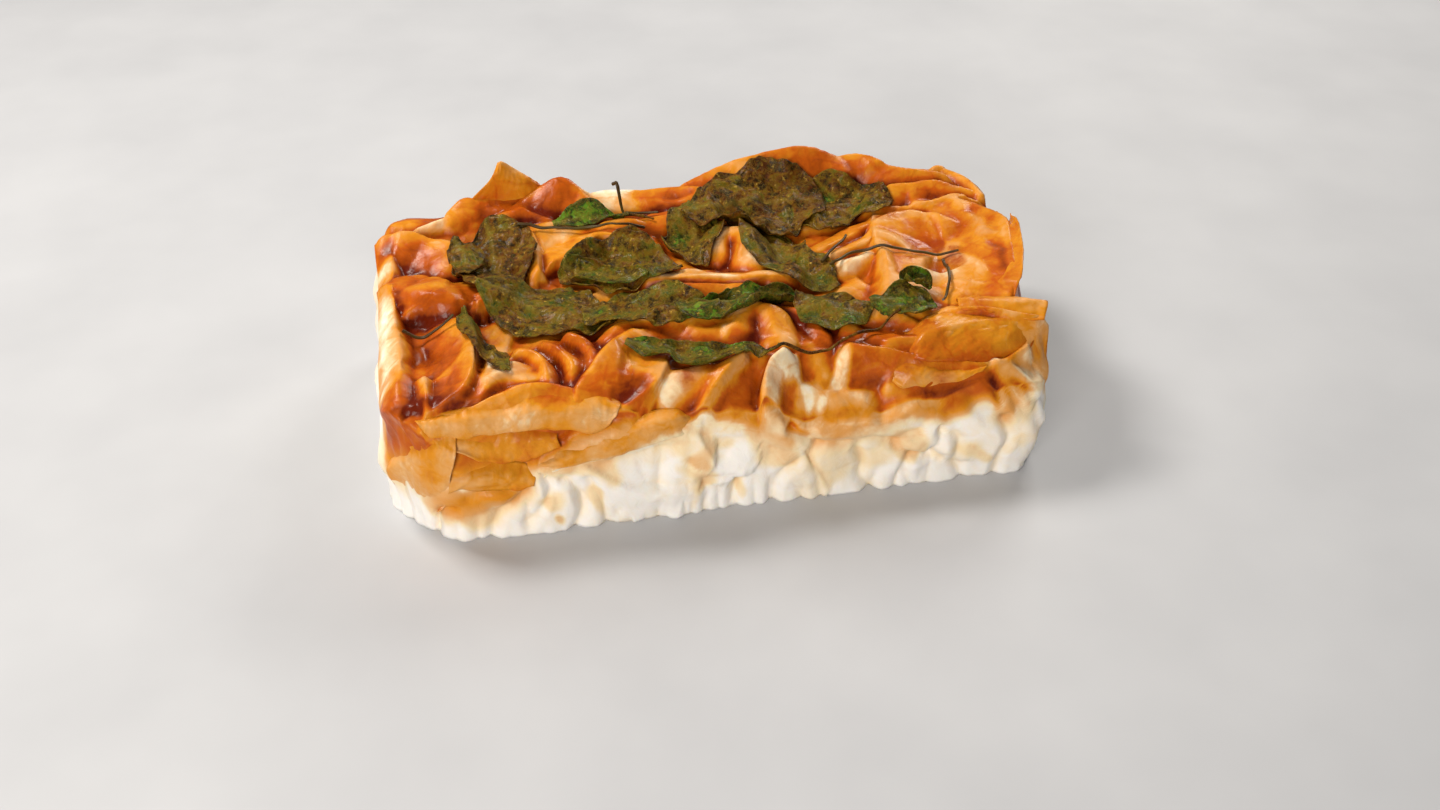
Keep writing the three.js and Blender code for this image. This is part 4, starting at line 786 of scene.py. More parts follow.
def sheet_points(name, toast, rails, free):
    """A sheet stretched over its rails, slightly rippled, and the values that colour it."""
    seed = seed_of(name)
    rails = fold_under(rails, free)
    toast = list(toast) + [toast[-1] + 0.1] * (len(rails) - len(toast))
    long = max(length_of(rail) for rail in rails)
    wide = length_of([np.mean(rail, axis=0) for rail in rails])
    steps = max(8, round(long / SHEET_CELL))
    curves = np.array([spline(rail, steps) for rail in rails])
    if "ends" not in free:
        from_end = np.minimum(np.arange(steps + 1), np.arange(steps, -1, -1))
        sink = EDGE_TUCK * (1 - smooth(from_end / (0.18 * steps)))
        curves = curves + sink[None, :, None] * np.array([[inwards(p) for p in row] for row in curves])
    toast = np.repeat(np.array(toast)[:, None, None], steps + 1, axis=1)
    skin = spline(np.concatenate([curves, toast], axis=2), max(6, round(wide / SHEET_CELL)))
    places, toast = skin[..., :3], skin[..., 3]
    s, t = np.meshgrid(np.linspace(0, long, places.shape[1]), np.linspace(0, wide, places.shape[0]))
    slope = unit(np.gradient(places, axis=0))
    normal = unit(np.cross(np.gradient(places, axis=1), np.gradient(places, axis=0)))
    ripple = 0.4 * waves(0.4 * s, t, 7, seed) + 0.1 * waves(s, t, 3, seed + 1)
    rag = 0.5 * waves(s, 0 * s, 7, seed + 2) * (t / wide) ** 4
    places = in_box(places + normal * ripple[..., None] + slope * rag[..., None])
    if (normal.reshape(-1, 3).mean(axis=0) @ inwards(places.reshape(-1, 3).mean(axis=0))) > 0:
        places, toast = places[:, ::-1], toast[:, ::-1]
    hollow = np.clip(hollows(places[..., 2], SHEET_BLUR), -1, 1.5)
    # Darker in the hollows and lighter on the ridges: painted shade in the hollows, partly also gathered
    # juice, and painted highlight along the ridges.
    toast = toast + 0.05 * waves(places[..., 0], places[..., 1], 18, seed + 3) + 0.08 * hollow
    return places, {"toast": toast, "pool": patch_value(places[..., 0], places[..., 1], CARAMEL_SPOTS),
                    "wall": 0 * toast, "hollow": hollow}


# ---- crust -----------------------------------------------------------------------------------

def soften(field, passes):
    """Blurs a grid of values."""
    for _ in range(passes):
        wide = np.pad(field, 1, mode="edge")
        field = (wide[:-2, 1:-1] + wide[2:, 1:-1] + wide[1:-1, :-2] + wide[1:-1, 2:]) / 4
    return field


def hollows(height, blur):
    """How far each point of a grid lies below its blurred surroundings, in mm."""
    return soften(height, blur) - height


def patch_value(x, y, spots):
    """The strongest of round soft spots at each point, with a wandering outline."""
    wx = x + SPOT_WANDER * waves(x, y, SPOT_WAVE, 21)
    wy = y + SPOT_WANDER * waves(x, y, SPOT_WAVE, 22)
    value = np.zeros(x.shape)
    for spot_x, spot_y, radius, strength in spots:
        away = np.hypot(wx - spot_x, wy - spot_y) / radius
        value = np.maximum(value, strength * smooth(1.6 - away))
    return value


def crust_grid():
    """The square's u and v at each point of the crust, and how far down the wall it is, from 0 to 1."""
    columns_on_top = round(2 * HALF_LENGTH / TOP_CELL)
    rows_on_top = round(2 * HALF_DEPTH / TOP_CELL)
    wall_rows = round(WALL_HEIGHT / WALL_CELL)
    columns, rows = columns_on_top + 2 * wall_rows, rows_on_top + 2 * wall_rows
    i, j = np.meshgrid(np.arange(columns + 1), np.arange(rows + 1))
    a, b = i - columns / 2, j - rows / 2
    down = np.maximum(np.maximum(np.abs(a) - columns_on_top / 2, np.abs(b) - rows_on_top / 2), 0)
    u = np.clip(a / (columns_on_top / 2 + down), -1, 1)
    v = np.clip(b / (rows_on_top / 2 + down), -1, 1)
    return u, v, down / wall_rows


def top_surface(shape, x, y):
    """The folded top: its height, where its leaning points lie, and how baked its folds are."""
    main = main_relief(x, y)
    small = crinkle_relief(x, y)
    calm = 1 - 0.8 * smooth((x - 78) / 8) * smooth((-y - 30) / 8) - 0.4 * smooth((-x - 66) / 8)
    inner = smooth(np.minimum(HALF_LENGTH - np.abs(x), HALF_DEPTH - np.abs(y)) / 5)
    rim = main.z + shape.crinkle * calm * small.z * (0.35 + 0.65 * inner) * (1 - 0.35 * main.crest)
    rim = 0.4 * rim + 0.6 * soften(rim, 1)
    lean = 0.3 + 0.7 * inner
    top_x = x + lean * soften(main.lean_x + shape.crinkle * calm * small.lean_x, 3)
    top_y = y + lean * soften(main.lean_y + shape.crinkle * calm * small.lean_y, 3)
    return rim, top_x, top_y, soften(main.tone + small.tone, 3)


def wall_browning(x, y, out_x, way, below_rim, height):
    """How much of the top's browning is left down the walls, which fades below the rim."""
    corner = smooth((-x - 30) / 60) * smooth((-y - 30) / 20)
    left_end = smooth((-out_x - 0.4) * 3) * smooth((y + 45) / 20)
    fringe = 7 + 4 * waves(way, 0 * way, 40, 43)
    fringe = np.maximum(fringe, 1) + corner * (9 + 20 * smooth((-out_x - 0.2) * 2))
    fringe = fringe * (1 - 0.9 * left_end) + 0.5
    return smooth(1.3 - 1.3 * below_rim / fringe) * (1 - corner * smooth((20 - height) / 12))


def crust_points(shape):
    """The points of the whole crust, row by row, and the values that colour them."""
    u, v, s = crust_grid()
    on_wall = s > 0
    x, y, out_x, out_y = plan(u, v)
    rim, top_x, top_y, baked = top_surface(shape, x, y)

    height = rim * (1 - s)
    way = way_round(u, v)
    wall = wall_relief(way, height)
    wall_on = smooth(s * 8)
    cut = FRONT_LEFT_CUT * s * 2 * np.abs(out_x * out_y) * ((u < 0) & (v < 0))
    cut = cut + RIGHT_CUT * s ** 1.5 * smooth(1.5 * out_x) * smooth((20 - y) / 50)
    pleats = (wall.z - 0.4) * shape.pleat / (PLEAT_DEPTH * MM) + 0.1 * waves(way, height, 7, 33)
    away = (WALL_BULGE * np.sin(np.pi * np.minimum(1, 1.15 * s)) + FOOT_FLARE * s ** 2 - cut
            + wall_on * pleats)
    sway = np.where(on_wall, wall.lean_x * wall_on * (1 - s ** 6), 0)
    over = (1 - s) ** 4
    wall_x = x + out_x * away - out_y * sway + over * (top_x - x)
    wall_y = y + out_y * away + out_x * sway + over * (top_y - y)
    points = in_box(np.stack([np.where(on_wall, wall_x, top_x), np.where(on_wall, wall_y, top_y),
                              np.where(on_wall, height, rim)], axis=-1))

    hollow = np.where(on_wall, hollows(wall.z, WALL_BLUR), hollows(rim - plateau(x, y), TOP_BLUR))
    toast = 0.10 + baked + 0.05 * waves(x, y, 34, 41)
    # Darker in the hollows and lighter on the ridges: painted shade in the hollows, partly also juice that
    # gathers there, and painted highlight along the ridges.
    toast = toast + 0.24 * np.clip(hollow, -0.5, 1.3)
    pale = patch_value(x, y, PALE_SPOTS)
    toast = toast * (1 - 0.6 * pale)
    faded = wall_browning(x, y, out_x, way, rim - height, height)
    # Tan marks on the walls: the listed ones on the front wall are partly stains and partly painted shade,
    # the others are slow waves.
    stain_and_shade = np.where(out_y < -0.6, patch_value(x, height, WALL_STAINS_AND_SHADE),
                     0.07 * np.clip(waves(way, 0.7 * height, 34, 51) + 0.3, 0, 1))
    # Painted shade in the hollows of the walls.
    stain_and_shade = stain_and_shade + 0.05 * np.clip(hollow, 0, 1.2)
    wall_toast = np.maximum(np.minimum(toast, 0.62) * faded, soften(wall.tone, 8)) + stain_and_shade
    pool = np.where(on_wall, 0, patch_value(x, y, CARAMEL_SPOTS)) * (1 - 0.7 * pale)
    return points, {"toast": np.where(on_wall, wall_toast, toast), "pool": pool, "wall": s,
                    "hollow": np.clip(hollow, -1, 1.5)}


def grid_mesh(name, points, values):
    """A mesh from a grid of points in mm, with a value per vertex for each named attribute."""
    rows, columns = points.shape[:2]
    sheet = bmesh.new()
    bmesh.ops.create_grid(sheet, x_segments=columns - 1, y_segments=rows - 1, size=1)
    mesh = bpy.data.meshes.new(name)
    sheet.to_mesh(mesh)
    sheet.free()
    places = np.empty(3 * len(mesh.vertices), np.float32)
    mesh.vertices.foreach_get("co", places)
    places = places.reshape(-1, 3)
    column = np.rint((places[:, 0] + 1) / 2 * (columns - 1)).astype(int)
    row = np.rint((places[:, 1] + 1) / 2 * (rows - 1)).astype(int)
    settled = (points[row, column] - (*CENTRE, 0)) * MM
    mesh.vertices.foreach_set("co", settled.astype(np.float32).ravel())
    for label, value in values.items():
        layer = mesh.attributes.new(label, "FLOAT", "POINT")
        layer.data.foreach_set("value", value[row, column].astype(np.float32).ravel())
    mesh.shade_smooth()
    mesh.update()
    return mesh


def add_object(mesh, material):
    """Links a finished mesh at the origin."""
    piece = bpy.data.objects.new(mesh.name, mesh)
    mesh.materials.append(material)
    bpy.context.scene.collection.objects.link(piece)
    return piece


def thicken(piece, thickness):
    """Gives a sheet its thickness, inwards."""
    solid = piece.modifiers.new("Thickness", "SOLIDIFY")
    solid.thickness = thickness * MM
    solid.offset = -1
    return piece


def close_base(mesh):
    """Closes the open foot of the sheet with one flat face."""
    body = bmesh.new()
    body.from_mesh(mesh)
    rim = [edge for edge in body.edges if edge.is_boundary]
    made = bmesh.ops.contextual_create(body, geom=rim)
    for face in made["faces"]:
        face.smooth = False
        if face.normal.z > 0:
            face.normal_flip()
    bmesh.ops.triangulate(body, faces=made["faces"])
    body.to_mesh(mesh)
    body.free()


# ---- what lies on the crust ------------------------------------------------------------------

class Bed:
    """The height of everything laid so far, in cells of 1 mm."""

    def __init__(self):
        self.reach_x, self.reach_y = round(LENGTH / 2) + 8, round(DEPTH / 2) + 8
        self.cells = np.zeros((2 * self.reach_y + 1, 2 * self.reach_x + 1))

    def add(self, points):
        """Raises the cells under points."""
        flat = points.reshape(-1, 3)
        i = np.clip(np.rint(flat[:, 0]).astype(int) + self.reach_x, 0, self.cells.shape[1] - 1)
        j = np.clip(np.rint(flat[:, 1]).astype(int) + self.reach_y, 0, self.cells.shape[0] - 1)
        np.maximum.at(self.cells, (j, i), flat[:, 2])

    def spread(self, radius):
        """The highest cell within a radius of each cell."""
        out = self.cells.copy()
        reach = math.ceil(radius)
        for dy in range(-reach, reach + 1):
            for dx in range(-reach, reach + 1):
                if dx * dx + dy * dy <= radius * radius:
                    out = np.maximum(out, np.roll(self.cells, (dy, dx), axis=(0, 1)))
        return out

    def read(self, field, x, y):
        """A field's value at points, blended between cells."""
        i = np.clip(x + self.reach_x, 0, field.shape[1] - 1.001)
        j = np.clip(y + self.reach_y, 0, field.shape[0] - 1.001)
        i0, j0 = i.astype(int), j.astype(int)
        fi, fj = i - i0, j - j0
        return ((field[j0, i0] * (1 - fi) + field[j0, i0 + 1] * fi) * (1 - fj)
                + (field[j0 + 1, i0] * (1 - fi) + field[j0 + 1, i0 + 1] * fi) * fj)

    def rest(self, x, y, stiffness):
        """How low a thin thing lies: on the highest points near it, smoothed, but through nothing."""
        field = self.spread(1.0)
        soft = self.spread(stiffness)
        for _ in range(int(2 * stiffness) + 1):
            soft = 0.2 * (soft + sum(np.roll(soft, turn, axis) for turn in (-1, 1) for axis in (0, 1)))
        return np.maximum(self.read(soft, x, y), self.read(field, x, y)) + REST_GAP


def widths(sizes, t):
    """How wide half a leaf is along its rib."""
    curve = spline([(k, size, 0) for k, size in enumerate(sizes)], 50)
    return np.maximum(np.interp(t * (len(sizes) - 1), curve[:, 0], curve[:, 1]), 0.3)


def leaf_points(name, leaf, bed):
    """The upper surface of a leaf, laid on the bed, and the values that colour it."""
    seed = seed_of(name) + len(leaf.rib)
    rib = spline([(*point, 0) for point in leaf.rib], 60)
    long = length_of(rib)
    broad = max(leaf.left) + max(leaf.right)
    steps, across = round(long / LEAF_CELL), round(1.15 * broad / LEAF_CELL)
    t, side = np.meshgrid(np.linspace(0, 1, steps + 1), np.linspace(-1, 1, across + 1), indexing="ij")
    stops = np.linspace(0, 1, len(rib))
    mid_x, mid_y = np.interp(t, stops, rib[:, 0]), np.interp(t, stops, rib[:, 1])
    slope = np.gradient(rib, axis=0)
    slope /= np.linalg.norm(slope, axis=1)[:, None]
    to_x, to_y = np.interp(t, stops, slope[:, 0]), np.interp(t, stops, slope[:, 1])

    half = np.where(side > 0, widths(leaf.left, t), widths(leaf.right, t))
    rim = t * long + 40 * np.sign(side)
    ragged = 1 + leaf.ragged * (1.2 * waves(rim, 0 * t, 13, seed) + 0.25 * waves(rim, 0 * t, 4.5, seed + 9))
    reach = side * half * ragged
    roll = np.where(side < 0, leaf.roll[1], leaf.roll[0])
    flat = half * (1 - roll)
    turn = np.maximum(np.abs(reach) - flat, 0) / leaf.curl
    off = np.sign(reach) * (np.minimum(np.abs(reach), flat) + leaf.curl * np.sin(turn))
    lift = leaf.curl * (1 - np.cos(turn))

    x = mid_x - to_y * off
    y = mid_y + to_x * off
    wrinkles = Relief(t * long - long / 2, reach, np.zeros(t.shape))
    count = round(long * broad / 20)
    for line, steep, gentle, round_, _, tones in crinkle_lines(
            long / 2, broad / 2, count, seed, LEAF_WRINKLE_SPACING):
        line = line * (0.6, 0.6, 0.4)
        wrinkles.add(line, 0.5 * steep, 0.5 * gentle, round_, 0, tones)
    lumps = np.abs(waves(x, y, 4.2, seed + 2))
    rib_line = np.exp(-(reach / 0.8) ** 2) * (1 - 0.6 * t)
    veins = (t * long - 0.8 * np.abs(reach) + 0.8 * waves(x, y, 12, seed + 4)) / 6.5
    side_ribs = np.exp(-((np.abs(zigzag(veins)) - 1) * 7) ** 2)
    skin = 1.25 * leaf.crumple * wrinkles.z + 0.35 * rib_line + 0.2 * side_ribs
    edge = np.maximum(np.abs(side), np.abs(2 * t - 1))
    flutter = 0.5 * (1 + waves(rim, 0 * t, 8, seed + 5)) * edge ** 5
    z = bed.rest(x, y, LEAF_STIFFNESS) + lift + skin + flutter
    values = {
        "green": np.clip(leaf.green + 1.6 * wrinkles.tone + 0.1 * waves(x, y, 9, seed + 1)
                         - 0.12 * edge ** 8, 0, 1),
        "rib": np.clip(rib_line + 0.45 * side_ribs, 0, 1),
        "lump": np.clip(lumps, 0, 1),
    }
    return np.stack([x, y, z], axis=-1), values


def tube(name, path, radius, bed):
    """A thin tapering stem through points (x, y), resting on the bed, or (x, y, z) where it stands."""
    rough = spline([(*point, 0)[:3] for point in path], max(6, round(length_of([p[:2] for p in path]) / 2)))
    rest = bed.rest(rough[:, 0], rough[:, 1], STEM_STIFFNESS) + radius
    rough[:, 2] = np.maximum(rough[:, 2], rest)
    seed = seed_of(name)
    line = spline(rough, 3 * len(rough))
    line[:, 0] += STEM_WOBBLE * waves(line[:, 0], line[:, 1], STEM_WAVE, seed)
    line[:, 1] += STEM_WOBBLE * waves(line[:, 0], line[:, 1], STEM_WAVE, seed + 1)
    stem = bpy.data.curves.new(name, "CURVE")
    stem.dimensions = "3D"
    stem.bevel_depth = 1.0
    stem.bevel_resolution = 3
    stem.use_fill_caps = True
    run = stem.splines.new("POLY")
    run.points.add(len(line) - 1)
    share = np.linspace(0, 1, len(line))
    thick = radius * MM * (1.1 - 0.35 * share + 0.12 * waves(10 * share, 0 * share, 3, seed))
    for point, place, size in zip(run.points, line, thick):
        point.co = (*((place - (*CENTRE, 0)) * MM), 1)
        point.radius = size
    holder = bpy.data.objects.new(name, stem)
    mesh = bpy.data.meshes.new_from_object(holder)
    bpy.data.objects.remove(holder)
    bpy.data.curves.remove(stem)
    mesh.name = name
    mesh.shade_smooth()
    return mesh, line


def join_meshes(first, second):
    """Adds a second mesh to the first, both already in place."""
    body = bmesh.new()
    body.from_mesh(first)
    body.from_mesh(second)
    body.to_mesh(first)
    body.free()
    first.shade_smooth()
    return first


# ---- materials -------------------------------------------------------------------------------

class Value:
    """A shader socket that can be used in Python sums; each operator adds its Math node."""

    def __init__(self, maker, socket):
        self.maker, self.socket = maker, socket

    def _sum(self, operation, first, second):
        node = self.maker.node("ShaderNodeMath", {"operation": operation}, {0: first, 1: second})
        return Value(self.maker, node.outputs[0])

    def __add__(self, other):
        return self._sum("ADD", self, other)

    __radd__ = __add__

    def __sub__(self, other):
        return self._sum("SUBTRACT", self, other)

    def __rsub__(self, other):
        return self._sum("SUBTRACT", other, self)

    def __mul__(self, other):
        return self._sum("MULTIPLY", self, other)

    __rmul__ = __mul__

    def __abs__(self):
        return self._sum("ABSOLUTE", self, 0)

    def within(self, low, high):
        """The value kept between two limits."""
        return self._sum("MINIMUM", self._sum("MAXIMUM", self, low), high)


class Maker:
    """Builds one material."""

    def __init__(self, name):
        self.material = bpy.data.materials.new(name)
        self.material.use_nodes = True
        self.tree = self.material.node_tree
        self.tree.nodes.clear()
        self.place = self.node("ShaderNodeTexCoord").outputs["Object"]

    def node(self, kind, settings=None, inputs=None, stops=()):
        """Adds a node: its settings first, then the values or links of its sockets."""
        node = self.tree.nodes.new(kind)
        for name, setting in (settings or {}).items():
            setattr(node, name, setting)
        for k, (position, color) in enumerate(stops):
            if k >= len(node.color_ramp.elements):
                node.color_ramp.elements.new(position)
            node.color_ramp.elements[k].position = position
            node.color_ramp.elements[k].color = (*color, 1)
        for key, value in (inputs or {}).items():
            if isinstance(value, Value):
                value = value.socket
            if isinstance(value, bpy.types.NodeSocket):
                self.tree.links.new(value, node.inputs[key])
            else:
                node.inputs[key].default_value = value
        return node

    def attribute(self, name):
        """A value stored on the piece."""
        node = self.node("ShaderNodeAttribute", {"attribute_name": name})
        return Value(self, node.outputs["Fac"])

    def noise(self, size, detail=3.0, roughness=0.5, distortion=0.0):
        """Cloudy noise with features about `size` mm across, 0.5 on average."""
        node = self.node("ShaderNodeTexNoise", None, {
            "Vector": self.place, "Scale": 1 / (size * MM), "Detail": detail, "Roughness": roughness,
            "Distortion": distortion})
        return Value(self, node.outputs["Fac"])

    def warped(self, size, amount):
        """Places pushed about by up to `amount` mm in waves about `size` mm long."""
        push = self.node("ShaderNodeTexNoise", None, {
            "Vector": self.place, "Scale": 1 / (size * MM), "Detail": 2.0}).outputs["Color"]
        moved = self.node("ShaderNodeVectorMath", {"operation": "MULTIPLY_ADD"}, {
            0: push, 1: (2 * amount * MM,) * 3, 2: self.place})
        return moved.outputs[0]

    def cells(self, size, feature="DISTANCE_TO_EDGE", place=None):
        """Cells about `size` mm across: how far each point is from their edges or middles."""
        node = self.node("ShaderNodeTexVoronoi", {"feature": feature}, {
            "Vector": place or self.place, "Scale": 1 / (size * MM)})
        return Value(self, node.outputs["Distance"])

    def ramp(self, value, stops):
        """A colour picked along stops of (position, colour)."""
        return self.node("ShaderNodeValToRGB", None, {"Fac": value}, stops).outputs["Color"]

    def mix(self, amount, first, second):
        """A blend of two colours."""
        node = self.node("ShaderNodeMix", {"data_type": "RGBA"}, {0: amount, 6: first, 7: second})
        return node.outputs[2]

    def bump(self, height, distance, strength, normal=None):
        """Fine relief of the given depth in mm."""
        links = {"Height": height, "Distance": distance * MM, "Strength": strength}
        if normal is not None:
            links["Normal"] = normal
        return self.node("ShaderNodeBump", None, links).outputs["Normal"]

    def finish(self, **sockets):
        """Ends the material in one Principled shader."""
        shader = self.node("ShaderNodeBsdfPrincipled", None, {
            name.replace("_", " "): value for name, value in sockets.items()})
        self.node("ShaderNodeOutputMaterial", None, {"Surface": shader.outputs[0]})
        return self.material


def filo_material(finish):
    """Baked filo: cream where it stayed pale, then golden, toasted and caramel, with an oily sheen."""
    maker = Maker("baked_filo")
    cloud = maker.noise(11, 4, 0.55)
    fine = maker.noise(2.2, 4, 0.6)
    streak = maker.noise(4.5, 3, 0.5, 1.2)
    bent = maker.warped(13, 5)
    facets = maker.cells(9, "F1", bent)
    small = maker.cells(3.8, "F1", bent)
    crease = (1 - 16 * maker.cells(12, place=bent)).within(0, 1) * cloud
    top = (1 - 3 * maker.attribute("wall")).within(0.15, 1)
    # The toast value also carries the painted shade in hollows and the painted highlight on ridges.
    baked = maker.attribute("toast")
    toast = baked + (0.2 + 0.8 * top) * (0.34 * (cloud - 0.5) + 0.10 * (fine - 0.5) + 0.20 * (streak - 0.5))
    toast = toast + top * (0.10 * crease + 0.06 * (facets - 0.45))
    cream, golden, toasted, caramel = (tuple(c) for c in (
        finish.cream, finish.golden, finish.toasted, finish.caramel))
    between = tuple(0.24 * a + 0.76 * b for a, b in zip(cream, golden))
    base = maker.ramp(toast.within(0, 1), [
        (0.0, (0.94, 0.90, 0.86)), (0.12, cream), (0.26, between), (0.42, golden), (0.62, toasted),
        (0.90, caramel)])
    pool = (maker.attribute("pool") * (0.25 + 1.2 * maker.noise(5, 3, 0.6))).within(0, 1)
    color = maker.mix(((pool - 0.3) * 1.1).within(0, 1), base, (*tuple(0.85 * c for c in toasted), 1))
    color = maker.mix(((pool - 0.75) * 2.4).within(0, 1), color, (*tuple(2.2 * c for c in caramel), 1))
    rough = (0.46 - 0.2 * baked - 0.15 * pool + 0.2 * (fine - 0.5)).within(0.2, 0.6)
    normal = maker.bump(fine, 0.05, 0.5)
    normal = maker.bump(streak, 0.45, 0.5, normal)
    normal = maker.bump(top * (facets + 0.5 * small), 1.1, 0.4, normal)
    return maker.finish(Base_Color=color, Roughness=rough, Normal=normal, Coat_Weight=(
        0.14 * pool + 0.06 * baked + 0.08 * maker.attribute("wall")).within(0, 0.2), Coat_Roughness=0.12,
        Specular_IOR_Level=0.13, Subsurface_Weight=0.12, Subsurface_Scale=2.5 * MM,
        Subsurface_Radius=(1.0, 0.55, 0.25))


def spinach_material():
    """Baked spinach: brown through olive to green, oily, with paler ribs and lacy golden flecks that are
    partly painted highlights.
    """
    maker = Maker("baked_spinach")
    cloud = maker.noise(8, 4, 0.65)
    fine = maker.noise(1.3, 4, 0.65)
    net = maker.noise(2.6, 5, 0.7, 0.8)
    ridge = (1 - 30 * abs(net - 0.5)).within(0, 1)
    green = maker.attribute("green") + 2.1 * (cloud - 0.5) + 0.8 * (fine - 0.5)
    base = maker.ramp(green.within(0, 1), [
        (0.0, (0.070, 0.018, 0.002)), (0.2, (0.150, 0.052, 0.003)), (0.4, (0.175, 0.100, 0.004)),
        (0.6, (0.100, 0.095, 0.005)), (0.8, (0.020, 0.044, 0.005)), (1.0, (0.10, 0.21, 0.010))])
    dark = ((0.5 - maker.noise(4, 5, 0.7)) * 12).within(0, 1)
    color = maker.mix(0.85 * dark, base, (0.012, 0.010, 0.002, 1))
    color = maker.mix(0.5 * ridge, color, (0.34, 0.20, 0.016, 1))
    # Golden flecks: partly crisped golden leaf and partly painted highlight.
    flecks_and_highlights = ((maker.noise(1.6, 3, 0.7) - 0.58) * 9).within(0, 1) * maker.attribute("lump")
    color = maker.mix(0.9 * flecks_and_highlights, color, (0.55, 0.34, 0.05, 1))
    color = maker.mix(0.5 * maker.attribute("rib"), color, (0.22, 0.17, 0.02, 1))
    normal = maker.bump(fine, 0.3, 0.7)
    normal = maker.bump(ridge, 0.35, 0.6, normal)
    normal = maker.bump(maker.noise(3.2, 2, 0.5, 1.5), 0.8, 0.5, normal)
    return maker.finish(Base_Color=color, Normal=normal, Roughness=(0.25 + 0.4 * fine).within(0.25, 0.7),
                        Coat_Weight=0.05, Coat_Roughness=0.12, Specular_IOR_Level=0.1)


def stem_material():
    """Thin baked stems, brown with a little green."""
    maker = Maker("baked_stem")
    fine = maker.noise(2.0, 4, 0.6)
    base = maker.ramp((maker.noise(9, 3, 0.5) * 1.6 - 0.3).within(0, 1), [
        (0.0, (0.035, 0.015, 0.004)), (0.5, (0.085, 0.045, 0.010)), (1.0, (0.12, 0.12, 0.018))])
    color = maker.mix(fine, base, (0.05, 0.026, 0.007, 1))
    return maker.finish(Base_Color=color, Normal=maker.bump(fine, 0.2, 0.6), Roughness=0.42,
                        Coat_Weight=0.12, Coat_Roughness=0.25, Specular_IOR_Level=0.2)


def table_material():
    """A plain pale table top."""
    maker = Maker("pale_table")
    cloud = maker.noise(60, 3, 0.5)
    color = maker.ramp(cloud, [(0.3, (0.50, 0.51, 0.54)), (0.7, (0.55, 0.56, 0.59))])
    return maker.finish(Base_Color=color, Roughness=0.6)


# ---- operators -------------------------------------------------------------------------------

STORE = {}


class PIE_OT_crust(bpy.types.Operator):
    """Bakes the crust: folded top, pleated walls and a flat base."""

    bl_idname = "pie.crust"
    bl_label = "Crust"

    def execute(self, context):
        STORE["filo"] = filo_material(context.scene.pie_finish)
        STORE["bed"] = Bed()
        points, values = crust_points(context.scene.pie_shape)
        mesh = grid_mesh("filo_crust", points, values)
        close_base(mesh)
        piece = add_object(mesh, STORE["filo"])
        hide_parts("crust")
        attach(piece, "root")
        STORE["bed"].add(points)
        return {"FINISHED"}


class PIE_OT_sheets(bpy.types.Operator):
    """Adds the few sheets of filo that lie loose on the crust."""

    bl_idname = "pie.sheets"
    bl_label = "Free sheets"

    def execute(self, context):
        for group, sheets in SHEETS.items():
            whole = None
            for name, (toast, rails, free) in sheets.items():
                points, values = sheet_points(name, toast, rails, free)
                STORE["bed"].add(points)
                mesh = grid_mesh(name, points, values)
                whole = mesh if whole is None else join_meshes(whole, mesh)
            whole.name = group
            piece = thicken(add_object(whole, STORE["filo"]), SHEET_THICKNESS)
            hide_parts("crust")
            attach(piece, "root")
        return {"FINISHED"}


class PIE_OT_leaves(bpy.types.Operator):
    """Lays the spinach leaves on the crust, the lowest first."""

    bl_idname = "pie.leaves"
    bl_label = "Spinach leaves"

    def execute(self, context):
        material = spinach_material()
        stem_radius = context.scene.pie_shape.stem / MM / 2
        for name, leaf in LEAVES.items():
            points, values = leaf_points(name, leaf, STORE["bed"])
            mesh = grid_mesh("baked_" + name, points, values)
            if leaf.stem:
                path = [leaf.rib[-2], leaf.rib[-1], *leaf.stem]
                end = np.array(path[1]) + 0.25 * (np.array(path[0]) - path[1])
                stalk, line = tube(name, [tuple(end), *path[1:]], stem_radius, STORE["bed"])
                mesh = join_meshes(mesh, stalk)
                STORE["bed"].add(line)
            STORE["bed"].add(points)
            if name in LEAF_FOLDS:
                points, values = leaf_points(name, LEAF_FOLDS[name], STORE["bed"])
                mesh = join_meshes(mesh, grid_mesh("fold", points, values))
                STORE["bed"].add(points)
            piece = thicken(add_object(mesh, material), LEAF_THICKNESS)
            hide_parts(name)
            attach(piece, "root")
        return {"FINISHED"}


class PIE_OT_stems(bpy.types.Operator):
    """Lays the loose stems."""

    bl_idname = "pie.stems"
    bl_label = "Stems"

    def execute(self, context):
        material = stem_material()
        radius = context.scene.pie_shape.stem / MM / 2
        for name, path in STEMS.items():
            mesh, line = tube("baked_" + name, path, radius, STORE["bed"])
            STORE["bed"].add(line)
            piece = add_object(mesh, material)
            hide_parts(name)
            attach(piece, "root")
        return {"FINISHED"}


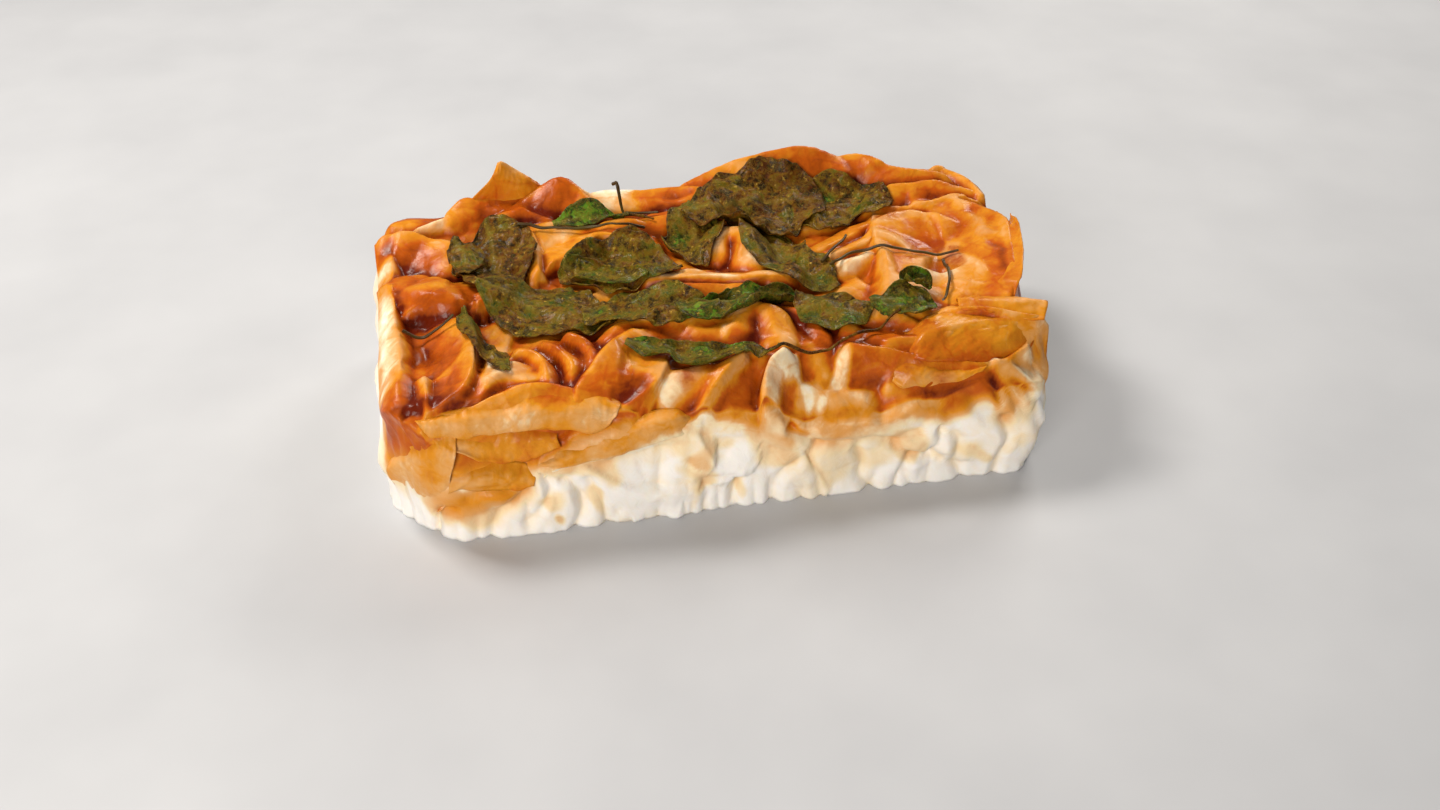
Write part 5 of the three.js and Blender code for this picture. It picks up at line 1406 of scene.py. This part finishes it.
class PIE_OT_stage(bpy.types.Operator):
    """Sets a pale table, soft studio light and the camera."""

    bl_idname = "pie.stage"
    bl_label = "Table, light and camera"

    def execute(self, context):
        scene = context.scene
        flat = bmesh.new()
        bmesh.ops.create_grid(flat, x_segments=1, y_segments=1, size=TABLE_REACH)
        table = bpy.data.meshes.new("table")
        flat.to_mesh(table)
        flat.free()
        add_object(table, table_material())

        for name, place, size, energy in LAMPS:
            light = bpy.data.lights.new(name, "AREA")
            light.size = size
            light.energy = energy
            light.color = LAMP_COLOR
            lamp = bpy.data.objects.new(name, light)
            lamp.location = place
            lamp.rotation_euler = (Vector(LAMP_AIM) - Vector(place)).to_track_quat("-Z", "Y").to_euler()
            scene.collection.objects.link(lamp)

        world = bpy.data.worlds.new("studio")
        world.use_nodes = True
        background = world.node_tree.nodes["Background"].inputs
        background["Color"].default_value = WORLD_COLOR
        background["Strength"].default_value = WORLD_STRENGTH
        scene.world = world
        scene.view_settings.view_transform = "Standard"

        lens = bpy.data.cameras.new("camera")
        lens.sensor_width = SENSOR_WIDTH
        lens.lens = LENS
        camera = bpy.data.objects.new("camera", lens)
        seat = Vector([at - middle for at, middle in zip(CAMERA_SEAT, (*CENTRE, 0))]) * MM
        turn = Vector(CAMERA_AHEAD).to_track_quat("-Z", "Y").to_matrix().to_4x4()
        roll = Matrix.Rotation(math.radians(CAMERA_ROLL), 4, "Z")
        camera.matrix_world = Matrix.Translation(seat) @ turn @ roll
        scene.collection.objects.link(camera)
        scene.camera = camera
        return {"FINISHED"}


class PIE_PT_panel(bpy.types.Panel):
    """Lists the steps of the bake."""

    bl_label = "Spanakopita"
    bl_idname = "PIE_PT_panel"
    bl_space_type = "VIEW_3D"
    bl_region_type = "UI"
    bl_category = "Pie"

    def draw(self, context):
        column = self.layout.column()
        for group in (context.scene.pie_shape, context.scene.pie_finish):
            for name in group.__annotations__:
                column.prop(group, name)
        for step in STEPS:
            column.operator(step.bl_idname)


STEPS = (PIE_OT_crust, PIE_OT_sheets, PIE_OT_leaves, PIE_OT_stems, PIE_OT_stage)
CLASSES = (PieShape, PieFinish, *STEPS, PIE_PT_panel)


def register():
    for cls in CLASSES:
        bpy.utils.register_class(cls)
    bpy.types.Scene.pie_shape = bpy.props.PointerProperty(type=PieShape)
    bpy.types.Scene.pie_finish = bpy.props.PointerProperty(type=PieFinish)


def unregister():
    del bpy.types.Scene.pie_finish
    del bpy.types.Scene.pie_shape
    for cls in reversed(CLASSES):
        bpy.utils.unregister_class(cls)


def main():
    """Registers the add-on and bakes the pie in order."""
    register()
    bpy.ops.pie.crust()
    bpy.ops.pie.sheets()
    bpy.ops.pie.leaves()
    bpy.ops.pie.stems()
    bpy.ops.pie.stage()
    bpy.context.view_layer.update()


if __name__ == "__main__":
    main()
